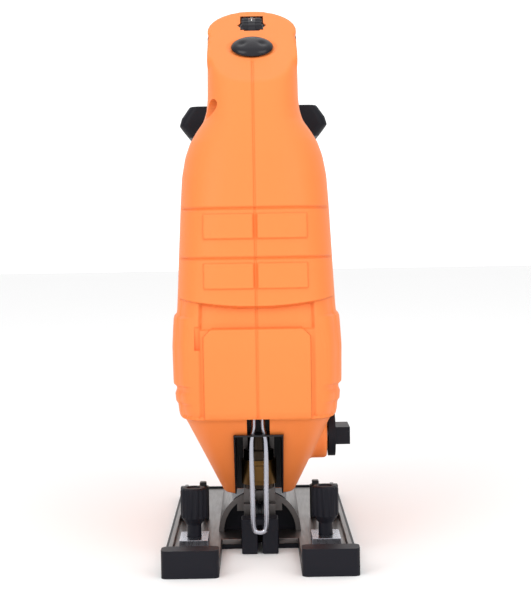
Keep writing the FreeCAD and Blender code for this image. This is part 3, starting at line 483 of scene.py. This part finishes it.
def brow_well(up_slope, radius, top, sink, segments, stretch):
    """A tapered tool in the brow, `sink` deep and squeezed along the slope."""
    tool = bmesh.new()
    bmesh.ops.create_cone(tool, cap_ends=True, segments=segments, radius1=radius,
                          radius2=top, depth=sink * 2)
    if segments == BEZEL_SIDES:
        bmesh.ops.rotate(tool, matrix=Matrix.Rotation(QUARTER, 3, "Z"), verts=tool.verts)
    bmesh.ops.scale(tool, vec=(1, stretch, 1), verts=tool.verts)
    bmesh.ops.translate(tool, vec=(0, up_slope, 0), verts=tool.verts)
    return on_brow(tool)


def close_holes(shape):
    """Fill every open rim, islands included, with triangles."""
    rims = [edge for edge in shape.edges if edge.is_boundary]
    bmesh.ops.triangle_fill(shape, edges=rims, use_beauty=True)


def sliced(shape, point, normal):
    """Cut away what lies on the normal's side of a plane and close the cut."""
    bmesh.ops.bisect_plane(shape, geom=shape.verts[:] + shape.edges[:] + shape.faces[:],
                           plane_co=point, plane_no=normal, clear_outer=True)
    close_holes(shape)
    return shape

# %% [markdown]
# Modifiers work on objects, so the bmeshes are joined into a throwaway object first. The
# voxel remesh lays one even skin over all the lumps, as clay over a core, and the smoothing
# then wipes it three times. A voxel of about a millimetre keeps the radii of the mould.

# %% Wipe the lumps into one skin
VOXEL = 1.05
BOSS_RADIUS, BOSS_LENGTH, BOSS_MIDDLE = 10.3, 16.0, 20.9


def to_object(name, shapes):
    """Join bmeshes, still in millimetres, into one throwaway object."""
    mesh = bpy.data.meshes.new(name)
    joined = bmesh.new()
    for shape in shapes:
        shape.to_mesh(mesh)
        shape.free()
        joined.from_mesh(mesh)
    joined.to_mesh(mesh)
    joined.free()
    thing = bpy.data.objects.new(name, mesh)
    bpy.context.scene.collection.objects.link(thing)
    return thing


def applied(thing):
    """The mesh of an object with its modifiers worked in."""
    graph = bpy.context.evaluated_depsgraph_get()
    return bpy.data.meshes.new_from_object(thing.evaluated_get(graph))


def one_skin(thing):
    """Wrap the lumps of an object in one voxel skin and wipe it smooth."""
    remesh = thing.modifiers.new("one skin", "REMESH")
    remesh.mode = "VOXEL"
    remesh.voxel_size = VOXEL
    wipe = thing.modifiers.new("wipe", "SMOOTH")
    wipe.factor = 0.5
    wipe.iterations = 3
    thing.data = applied(thing)
    thing.modifiers.clear()


# The orbit lever sits on a round boss that grows out of the left flank.
selector_boss = cut_rod(BOSS_RADIUS, BOSS_LENGTH,
                        Vector((BOSS_MIDDLE, SELECTOR.y, SELECTOR.z)), "X")
rough = to_object("casing_rough", [
    sliced(lump(TRUNK), BROW_FOOT, BROW_NORMAL), lump(CHIN),
    sliced(lump(GRIP, upright=True), BROW_FOOT, BROW_NORMAL),
    sliced(lump(CROWN, upright=True), BROW_FOOT, BROW_NORMAL), lump(BARREL, upright=True),
    lump(PILLAR), lump(TAIL), selector_boss])
one_skin(rough)
print("casing skin:", len(rough.data.polygons), "faces")

# %% [markdown]
# The front carries the styling: two pairs of raised pads, two thin grooves that run right
# round the chest, and a nose block that stands proud of its flanks under a shallow step.
# The skin there is divided finely and then pushed in or out by a smooth height, which is
# how a sculptor adds relief, with soft shoulders instead of knife cuts.

# %% Height of the relief
PAD_ROWS = ((109.5, 119.6), (129.3, 139.3))
PAD_RISE, PAD_INNER, PAD_OUTER, PAD_SOFT = 0.75, 0.8, 20.6, 0.3
GROOVES = (121.6, 141.5)
GROOVE_DEPTH, GROOVE_WIDTH = 0.75, 0.5
SEAM_DEPTH, SEAM_WIDTH = 0.55, 0.42
STEP_HEIGHT, STEP_BOW, STEP_REACH = 102.4, 3.4, 32.0
STEP_DEPTH, RECESS_DEPTH = 1.2, 1.7
BLOCK_HALF, BLOCK_TOP, CORNER = 21.5, 94.0, 3.6


def ramp(value, start, end):
    """0 before start, 1 after end, and a smooth rise between them."""
    share = min(max((value - start) / (end - start), 0.0), 1.0)
    return share * share * (3 - 2 * share)


def between(value, low, high, soft):
    """1 inside a band and 0 outside it, with soft edges."""
    return ramp(value, low - soft, low + soft) * (1 - ramp(value, high - soft, high + soft))


def relief(x, z):
    """Height of the front skin over its plain form, in millimetres."""
    side = abs(x)
    height = 0.0
    for low, high in PAD_ROWS:
        height += (PAD_RISE * between(z, low, high, PAD_SOFT)
                   * between(side, PAD_INNER, PAD_OUTER, PAD_SOFT))
    for groove in GROOVES:
        height -= GROOVE_DEPTH * math.exp(-((z - groove) / GROOVE_WIDTH) ** 2)
    # Under the chest the skin steps back, and only the nose block stays proud.
    step = STEP_HEIGHT + STEP_BOW * (side / STEP_REACH) ** 2
    below = 1 - ramp(z, step - 0.5, step + 0.2)
    diagonal = BLOCK_HALF + BLOCK_TOP
    corner = 1 - ramp(side + z, diagonal - CORNER, diagonal - CORNER + 0.6)
    block = ((1 - ramp(side, BLOCK_HALF - 0.4, BLOCK_HALF + 0.4))
             * (1 - ramp(z, BLOCK_TOP - 0.6, BLOCK_TOP + 0.4)) * corner)
    recess = (1 - ramp(side, 22.5, 23.9)) * (0.3 + 0.7 * ramp(z, 93.0, 94.2))
    height -= below * (1 - block) * (STEP_DEPTH + RECESS_DEPTH * recess)
    height -= SEAM_DEPTH * math.exp(-(x / SEAM_WIDTH) ** 2)
    return height


def steepness(x, z):
    """How fast the relief rises here: 0 on flat skin, up to 1 on the side of a step."""
    near = 0.3
    along = abs(relief(x + near, z) - relief(x - near, z))
    up = abs(relief(x, z + near) - relief(x, z - near))
    return min((along + up) / 0.9, 1.0)


print("pads stand %.2f mm proud, the grooves are %.2f mm deep" % (PAD_RISE, GROOVE_DEPTH))

# %% [markdown]
# Only the front faces are divided, because a fine mesh costs time everywhere else. The
# flanks of the nose get two low steps, pushed straight sideways. How steep the relief is at
# each point is kept as an attribute, and the orange finish darkens by it as painted shade.

# %% Push the relief of the nose and chest
RELIEF_FOOT, RELIEF_TOP = 58.0, 146.0
# Low and high edge of each flank step, its softness and how far it stands out.
FLANK_STEPS = [(70.4, 98.4, 0.5, 1.1), (63.4, 67.6, 0.6, 0.8)]

skin = bmesh.new()
skin.from_mesh(rough.data)
crease = skin.verts.layers.float.new("crease")
front_faces = []
for face in skin.faces:
    middle = face.calc_center_median()
    faces_front = face.normal.y < -0.2 and middle.y < behind(62) and middle.z > RELIEF_FOOT
    if faces_front and (middle.z < RELIEF_TOP or abs(middle.x) < 1.3):
        front_faces.append(face)
fine_edges = list({edge for face in front_faces for edge in face.edges})
bmesh.ops.subdivide_edges(skin, edges=fine_edges, cuts=2, use_grid_fill=True)
skin.normal_update()
for vert in skin.verts:
    if abs(vert.normal.x) > 0.45 and vert.co.y < behind(64) and 57.0 < vert.co.z < 104.0:
        proud = sum(rise * between(vert.co.z, low, high, soft)
                    for low, high, soft, rise in FLANK_STEPS)
        vert.co.x += math.copysign(proud * ramp(abs(vert.normal.x), 0.45, 0.8), vert.co.x)
pushed = [(vert, vert.normal.copy()) for vert in skin.verts
          if vert.normal.y < -0.05 and vert.co.y < behind(66) and vert.co.z > 57.6]
for vert, normal in pushed:
    fade = ramp(-normal.y, 0.05, 0.35)
    # The steepness is stored as painted shade, which darkens the orange in the grooves and steps.
    vert[crease] = steepness(vert.co.x, vert.co.z) * fade
    vert.co += normal * relief(vert.co.x, vert.co.z) * fade
skin.to_mesh(rough.data)
skin.free()
print("relief pushed on", len(pushed), "points")

# %% [markdown]
# The openings are cut with solid tools, as a machinist would mill them: the blade window
# and guard slot under the nose, the half-round seat for the saddle, the slots of the
# trigger and lock button, the recess of the speed dial, the vents and the screw wells.
# The inside gets room as well: a chamber for the blade clamp over the window, one for the
# plunger and its yoke, and a round one for the gear, so that nothing rubs at full stroke.

# %% Tools for the openings
# Depth behind the lip, height and half width of the casing at each screw.
WELLS = [(53.0, 183.0, 15.0), (84.0, 139.5, 30.8), (177.0, 152.0, 18.5), (183.0, 96.0, 26.0),
         (150.0, 84.0, 32.5), (160.0, 204.0, 18.8), (195.0, 205.0, 20.0)]
WELL_RADIUS, WELL_LENGTH, WELL_SINK = 3.9, 20.0, 5.0
VENTS, VENT_PITCH, VENT_WIDTH = 6, 5.5, 2.2

vents = [cut_box(sorted((side * 24.0, side * 42.0)),
                 (150 + VENT_PITCH * n, 150 + VENT_WIDTH + VENT_PITCH * n), (104, 126))
         for side in (-1, 1) for n in range(VENTS)]
wells = [cut_rod(WELL_RADIUS, WELL_LENGTH,
                 Vector((WELL_SINK - half - WELL_LENGTH / 2, behind(deep), z)), "X", 32)
         for deep, z, half in WELLS]
blade_window = cut_box((-9.5, 9.5), (10, 66.2), (10, 50))
clamp_chamber = cut_box((-9.5, 9.5), (40.7, 66.2), (49, 63.0))
plunger_chamber = cut_box((-17.5, 17.5), (44.0, 68.5), (62.0, 144.0))
gear_chamber = cut_rod(25.0, 21.0, Vector((0, behind(70.0), 88.0)), "Y", 96)
guard_slot = cut_box((-4.6, 4.6), (10, 42), (48, 57.6))
trigger_slot = cut_box((-8.6, 8.6), (94.5, 140), (180, 203))
nose_notch = cut_box((-24.9, -22.7), (10, 27.0), (85.3, 94.7))
selector_bore = cut_rod(4.2, 40, Vector((30, SELECTOR.y, SELECTOR.z)), "X")
bezel_well = brow_well(BEZEL_UP_SLOPE, 6.3, 6.3, 1.3, BEZEL_SIDES, BEZEL_SQUEEZE)
button_well = brow_well(0, 10.0, 11.6, 0.45, 64, 0.74)
saddle_seat = cut_rod(SEAT, 120, Vector((0, behind(105), AXLE_HEIGHT)), "Y", 96)
dial_recess = cut_rod(9.5, 9.9, DIAL, "X")
print(len(vents), "vents and", len(wells), "screw wells to cut")

# %% [markdown]
# A boolean wants tools that do not overlap each other, so they go in batches: tools that
# stand apart share one cut, and each that touches another gets a cut of its own.

# %% Cut the openings
tools = [[blade_window], [clamp_chamber], [plunger_chamber], [gear_chamber],
         [guard_slot, trigger_slot, nose_notch, selector_bore, bezel_well, button_well,
          *vents, *wells],
         [saddle_seat], [dial_recess]]
for number, batch in enumerate(tools):
    tool = to_object("tool_%d" % number, batch)
    cut = rough.modifiers.new("cut", "BOOLEAN")
    cut.operation = "DIFFERENCE"
    cut.solver = "EXACT"
    cut.object = tool
    rough.data = applied(rough)
    rough.modifiers.clear()
    bpy.data.objects.remove(tool)
print("casing after cutting:", len(rough.data.polygons), "faces")

# %% [markdown]
# The seam is real: the mould halves are made apart and screwed together, and the joint draws
# a dark line down the middle. So the skin is cut in two at the middle plane, each half is
# closed on its own flat rim, and the halves meet at the bottom of the pressed-in groove.

# %% Split the casing into its halves
for node, side in (("housing_left", 1), ("housing_right", -1)):
    half = bmesh.new()
    half.from_mesh(rough.data)
    sliced(half, Vector((0, 0, 0)), Vector((-side, 0, 0)))
    make_piece(node + "_shell", half, orange, node, crease=42.0, tidy=False)
bpy.data.objects.remove(rough)

# %% [markdown]
# The soft flanks are rubber moulded over the grip in a second shot. They are the grip's own
# loft grown by most of a millimetre, cut to length and parted along the top and bottom.

# %% Rubber flanks
RUBBER_THICKNESS = 0.75
GRIP_FRONT, GRIP_BACK, GRIP_INNER = 104, 176, 9.2

grown = to_object("grip_rough", [lump(GRIP, upright=True, grow=RUBBER_THICKNESS),
                                 lump(CROWN, upright=True, grow=RUBBER_THICKNESS)])
one_skin(grown)
for node, side in (("grip_left", 1), ("grip_right", -1)):
    pad = bmesh.new()
    pad.from_mesh(grown.data)
    sliced(pad, Vector((0, behind(GRIP_FRONT), 0)), Vector((0, -1, 0)))
    sliced(pad, Vector((0, behind(GRIP_BACK), 0)), Vector((0, 1, 0)))
    sliced(pad, Vector((side * GRIP_INNER, 0, 0)), Vector((-side, 0, 0)))
    piece = make_piece(node + "_rubber", pad, rubber, node, crease=50.0, tidy=False)
    round_edges(piece, 0.5, 50.0)
bpy.data.objects.remove(grown)

# %% [markdown]
# Behind the window of the nose there is no daylight, and that shade is painted in: a black
# lining fills the opening so that the cavity reads dark. It follows the window up to its brow,
# then steps up into a chamber that leaves the blade clamp room for its whole stroke. Its side
# is drawn once as a corner-to-corner outline, the outline is extruded across the nose, the
# mouth and the floor are deleted, and the walls are thickened inwards.

# %% Black lining of the blade window, as painted shade
# Depth behind the lip and height of each corner of the side wall.
LINING = [(29.5, 49.9), (40.8, 49.9), (40.8, 62.8), (66.0, 62.8), (66.0, 22.8), (53.0, 22.8)]
LINING_HALF, LINING_WALL = 9.45, 0.6

lining = bmesh.new()
side = lining.faces.new([lining.verts.new((-LINING_HALF, behind(deep), z))
                         for deep, z in LINING])
across = bmesh.ops.extrude_face_region(lining, geom=[side], use_keep_orig=True)
bmesh.ops.translate(lining, vec=(2 * LINING_HALF, 0, 0), verts=[
    item for item in across["geom"] if isinstance(item, bmesh.types.BMVert)])
bmesh.ops.recalc_face_normals(lining, faces=lining.faces[:])
# The floor and the slanted mouth are the only faces that look down.
bmesh.ops.delete(lining, context="FACES", geom=[
    face for face in lining.faces if face.normal.z < -0.1])
bmesh.ops.solidify(lining, geom=lining.faces[:], thickness=-LINING_WALL)
# The lining is a dark sheet put into the window as painted shade.
make_piece("window_shade_lining", lining, dark_steel, body="body")

# %% [markdown]
# The speed dial peeps out of a six-sided black bezel set flush in the brow. The bezel is a
# six-sided plate whose middle is inset and pushed down, then given a thickness.

# %% Bezel of the speed dial
BEZEL_RADIUS, BEZEL_RIM, BEZEL_DISH, BEZEL_WALL, BEZEL_SINK = 6.15, 0.9, 0.5, 0.8, 0.15

bezel = bmesh.new()
bmesh.ops.create_circle(bezel, cap_ends=True, segments=BEZEL_SIDES, radius=BEZEL_RADIUS)
bmesh.ops.rotate(bezel, matrix=Matrix.Rotation(QUARTER, 3, "Z"), verts=bezel.verts)
bmesh.ops.scale(bezel, vec=(1, BEZEL_SQUEEZE, 1), verts=bezel.verts)
plate = bezel.faces[:]
bmesh.ops.inset_region(bezel, faces=plate, thickness=BEZEL_RIM)
for vert in {vert for face in plate for vert in face.verts}:
    vert.co.z -= BEZEL_DISH
sunk = bmesh.ops.extrude_face_region(bezel, geom=bezel.faces[:])
bmesh.ops.translate(bezel, vec=(0, 0, -BEZEL_WALL), verts=[
    item for item in sunk["geom"] if isinstance(item, bmesh.types.BMVert)])
bmesh.ops.translate(bezel, vec=(0, BEZEL_UP_SLOPE, -BEZEL_SINK), verts=bezel.verts)
make_piece("dial_bezel", on_brow(bezel), gloss_black, body="body")

# %% [markdown]
# The lock button is a polished oval pebble that a thumb slides from side to side, with two
# shallow dimples to feel for. A sphere is squashed to the pebble, its lower half is cut
# off, and the dimples are pressed in by moving points down under two soft bells.

# %% Lock button
DIMPLE_APART, DIMPLE_DEPTH, DIMPLE_WIDTH = 4.3, 0.75, 1.5

pebble = bmesh.new()
bmesh.ops.create_uvsphere(pebble, u_segments=64, v_segments=40, radius=1.0)
bmesh.ops.scale(pebble, vec=(9.0, 7.2, 3.2), verts=pebble.verts)
sliced(pebble, Vector((0, 0, 0.4)), Vector((0, 0, -1)))
for vert in pebble.verts:
    if vert.co.z > 0.6:
        for side in (-1, 1):
            away = (vert.co.x - side * DIMPLE_APART) ** 2 + (vert.co.y + 0.6) ** 2
            vert.co.z -= DIMPLE_DEPTH * math.exp(-away / DIMPLE_WIDTH ** 2)
# The stem under the pebble runs in the slot of the casing.
bmesh.ops.create_cube(pebble, size=1.0, matrix=Matrix.Translation((0, 0, -1.9))
                      @ Matrix.Diagonal((6.8, 5.8, 5.4, 1)))
make_piece("lock_button_pebble", on_brow(pebble), gloss_black, "lock_button", crease=40.0)

# %% [markdown]
# Turned and moulded round parts share one helper: rings of points are set along an axis and
# bridged into a skin. Where a thumb has to grip, every other pair of points on the ring
# sits deeper, and that makes the moulded ribs of a knob or a dial.


# %% Ribbed round parts
def ribbed(profile, ribs, groove):
    """A round skin along Z; profile holds (radius, height, share of the full rib depth)."""
    shape = bmesh.new()
    rings = []
    for radius, height, share in profile:
        ring = bmesh.ops.create_circle(shape, segments=ribs * 4, radius=radius)["verts"]
        for number, vert in enumerate(ring):
            if number % 4 in (0, 1):
                vert.co *= 1 - share * groove / radius
            vert.co.z = height
        rings.append(list({edge for vert in ring for edge in vert.link_edges}))
    for lower, upper in zip(rings, rings[1:]):
        bmesh.ops.bridge_loops(shape, edges=lower + upper)
    for end in (rings[0], rings[-1]):
        bmesh.ops.contextual_create(shape, geom=end)
    return shape


KNOB_RIBS, DIAL_RIBS = 14, 26

for node in ("guide_screw_left", "guide_screw_right"):
    low, high = (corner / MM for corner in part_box(node))
    centre = (low + high) / 2
    knob = ribbed([(2.9, low.z, 0), (2.9, low.z + 5.4, 0), (3.3, low.z + 5.9, 0),
                   (5.1, low.z + 8.3, 0), (5.4, low.z + 8.9, 1), (5.4, high.z - 1.4, 1),
                   (5.1, high.z - 0.5, 0.4), (4.4, high.z, 0), (3.0, high.z, 0),
                   (2.6, high.z - 0.5, 0)], KNOB_RIBS, 0.55)
    bmesh.ops.translate(knob, vec=(centre.x, centre.y, 0), verts=knob.verts)
    make_piece(node + "_knob", knob, black, node, crease=32.0)

dial = ribbed([(8.2, -4.5, 0.2), (8.8, -4.1, 1), (9.0, -3.5, 1), (9.0, -1.7, 1), (8.8, -1.5, 0),
               (8.8, 1.5, 0), (9.0, 1.7, 1), (9.0, 3.5, 1), (8.8, 4.1, 1), (8.2, 4.5, 0.2)],
              DIAL_RIBS, 0.5)
bmesh.ops.rotate(dial, matrix=Matrix.Rotation(QUARTER, 3, "Y"), verts=dial.verts)
bmesh.ops.translate(dial, vec=DIAL, verts=dial.verts)
make_piece("speed_dial_wheel", dial, gloss_black, "speed_dial", crease=30.0)

# %% [markdown]
# White numbers from 1 to 6 are printed on the smooth band of the dial, so that the user
# can read the speed; the white print also stands in for the dial's highlight, a painted
# highlight. Each is a Text object made into a mesh, then laid on the rim.

# %% Numbers on the dial
# White print, which also serves as a painted highlight on the dial.
print_and_highlight_white, tree, shader, place = finish_named("white pad print and painted highlight", Roughness=0.55)
mottled(tree, shader, place, "E4E2DC", "F2F0EA", 0.4)

BAND_RADIUS, FIRST_ANGLE, ANGLE_STEP = 8.83, 55.0, 30.0
numbers = bmesh.new()
for number in range(6):
    text = bpy.data.curves.new("number", "FONT")
    text.body = str(number + 1)
    text.size = 2.9
    text.align_x, text.align_y = "CENTER", "CENTER"
    text.extrude = 0.04
    sign = bpy.data.objects.new("number", text)
    bpy.context.scene.collection.objects.link(sign)
    flat = applied(sign)
    bpy.data.objects.remove(sign)
    angle = math.radians(FIRST_ANGLE + ANGLE_STEP * number)
    turn = Matrix(((1, 0, 0), (0, math.sin(angle), -math.cos(angle)),
                   (0, math.cos(angle), math.sin(angle)))).to_4x4()
    flat.transform(Matrix.Translation(DIAL) @ turn
                   @ Matrix.Translation((0, 0, BAND_RADIUS)))
    numbers.from_mesh(flat)
make_piece("speed_dial_numbers", numbers, print_and_highlight_white, body="speed_dial", tidy=False)

# %% [markdown]
# The finger guard in front of the blade is one hairpin of bright spring wire: pinched at
# the top where it clips into the casing, wider below, with a round turn at the bottom. A
# smooth curve with a round section is how wire is bent, so it is drawn as a curve and made
# a mesh once its line is right.

# %% Wire guard
WIRE = 0.98
guard_low, guard_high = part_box("wire_guard")
guard_y = (guard_low.y + guard_high.y) / 2 / MM
foot, top = guard_low.z / MM + WIRE, guard_high.z / MM
hairpin = bpy.data.curves.new("hairpin", "CURVE")
hairpin.dimensions = "3D"
hairpin.bevel_depth = WIRE
hairpin.bevel_resolution = 6
hairpin.resolution_u = 12
line = hairpin.splines.new("NURBS")
half_line = [(1.75, top), (1.75, top - 5), (1.9, top - 8), (2.8, top - 11), (2.95, top - 15),
             (2.85, top - 30), (2.75, foot + 9), (2.75, foot + 4), (2.4, foot + 0.6),
             (0.9, foot - 0.2)]
points = [(-x, z) for x, z in half_line] + [(x, z) for x, z in reversed(half_line)]
line.points.add(len(points) - 1)
for point, (x, z) in zip(line.points, points):
    point.co = (x, guard_y, z, 1)
line.order_u = 3
line.use_endpoint_u = True
bent = bpy.data.objects.new("hairpin", hairpin)
bpy.context.scene.collection.objects.link(bent)
wire = bmesh.new()
wire.from_mesh(applied(bent))
bpy.data.objects.remove(bent)
close_holes(wire)
make_piece("wire_guard_hairpin", wire, bright_steel, "wire_guard", crease=60.0)

# %% [markdown]
# The camera stands a step in front of the bench with a longish lens, a hand's breadth above
# the middle of the tool, and looks slightly down. It leans by about a degree, as one held
# by hand does, and a small shift of the lens puts the tool left of the middle.

# %% Camera
LENS, SENSOR = 87.3, 36.0
DISTANCE, EYE_HEIGHT = 550.0, 133.5
EYE = Vector((0.0, (FRONT_LIP - DISTANCE) * MM, EYE_HEIGHT * MM))
PITCH, ROLL, SIDEWAYS = 2.83, -0.95, 0.0155
camera_data = bpy.data.cameras.new("studio_camera")
camera_data.lens = LENS
camera_data.sensor_width = SENSOR
camera_data.shift_x = SIDEWAYS
camera = bpy.data.objects.new("studio_camera", camera_data)
bpy.context.scene.collection.objects.link(camera)
camera.matrix_world = (Matrix.Translation(EYE)
                       @ Matrix.Rotation(math.radians(90 - PITCH), 4, "X")
                       @ Matrix.Rotation(math.radians(ROLL), 4, "Z"))
bpy.context.scene.camera = camera
print("camera is %.0f mm from the front lip" % (FRONT_LIP - EYE.y / MM))

# %% [markdown]
# A plain pale floor and a white room give the even light of a catalogue page. The room
# fills the shadows, and two soft boxes at the front corners and a weak one above draw the
# edges of the pads and the nose block without hard highlights.

# %% Floor
white = finish_named("pale studio floor", Base_Color=linear("F4F4F4"), Roughness=0.9)[0]
sheet = bmesh.new()
bmesh.ops.create_grid(sheet, x_segments=1, y_segments=1, size=4.0)
floor_mesh = bpy.data.meshes.new("studio_floor")
sheet.to_mesh(floor_mesh)
sheet.free()
floor_mesh.materials.append(white)
floor = bpy.data.objects.new("studio_floor", floor_mesh)
bpy.context.scene.collection.objects.link(floor)
floor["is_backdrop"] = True
print("floor of 8 m laid")

# %% [markdown]
# The room is dimmer to the left and right, so that the flanks of the casing fall off softly.
# The light comes from the sky behind every point, so the fall-off is a few nodes that read
# the direction in the world and take away strength by its square.

# %% White room
DIMMING, FRONT_STRENGTH = -0.85, 1.25
world = bpy.data.worlds.new("soft white room")
world.use_nodes = True
world.node_tree.nodes["Background"].inputs["Color"].default_value = (1, 1, 1, 1)
sky = world.node_tree
way = add(sky, "ShaderNodeTexCoord").outputs["Generated"]
sideways = add(sky, "ShaderNodeSeparateXYZ", {0: way}).outputs["X"]
square = add(sky, "ShaderNodeMath", {0: sideways, 1: sideways}, operation="MULTIPLY")
dimmed = add(sky, "ShaderNodeMath", {0: square.outputs[0], 1: DIMMING,
                                      2: FRONT_STRENGTH}, operation="MULTIPLY_ADD")
sky.links.new(dimmed.outputs[0], sky.nodes["Background"].inputs["Strength"])
bpy.context.scene.world = world
bpy.context.scene.view_settings.view_transform = "Standard"
print("room strength in front:", FRONT_STRENGTH)

# %% [markdown]
# Soft boxes are square area lamps. A track rotation turns each one's lit face, its minus Z,
# to the thing that it lights. The left one is the key and stands a little stronger.


# %% Soft boxes
def softbox(name, place, aim, size, power):
    """A square area lamp at `place`, turned to face `aim`."""
    lamp = bpy.data.lights.new(name, "AREA")
    lamp.energy = power
    lamp.size = size
    thing = bpy.data.objects.new(name, lamp)
    bpy.context.scene.collection.objects.link(thing)
    turn = (Vector(aim) - Vector(place)).to_track_quat("-Z", "Y")
    thing.matrix_world = Matrix.Translation(place) @ turn.to_matrix().to_4x4()
    print("%-10s %.1f W" % (name, power))


softbox("key_left", (-0.9, -1.1, 0.9), (0, 0, 0.12), 0.8, 6.0)
softbox("key_right", (0.9, -1.1, 0.9), (0, 0, 0.12), 0.8, 4.2)
softbox("top", (0.0, 0.1, 1.5), (0, 0, 0.1), 1.2, 1.6)

# %% [markdown]
# Last of all the size is printed: the box of everything seen.

# %% Size of everything seen
low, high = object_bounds()
print("visual box, mm:", [round(v * 1000, 1) for v in (*low, *high)])
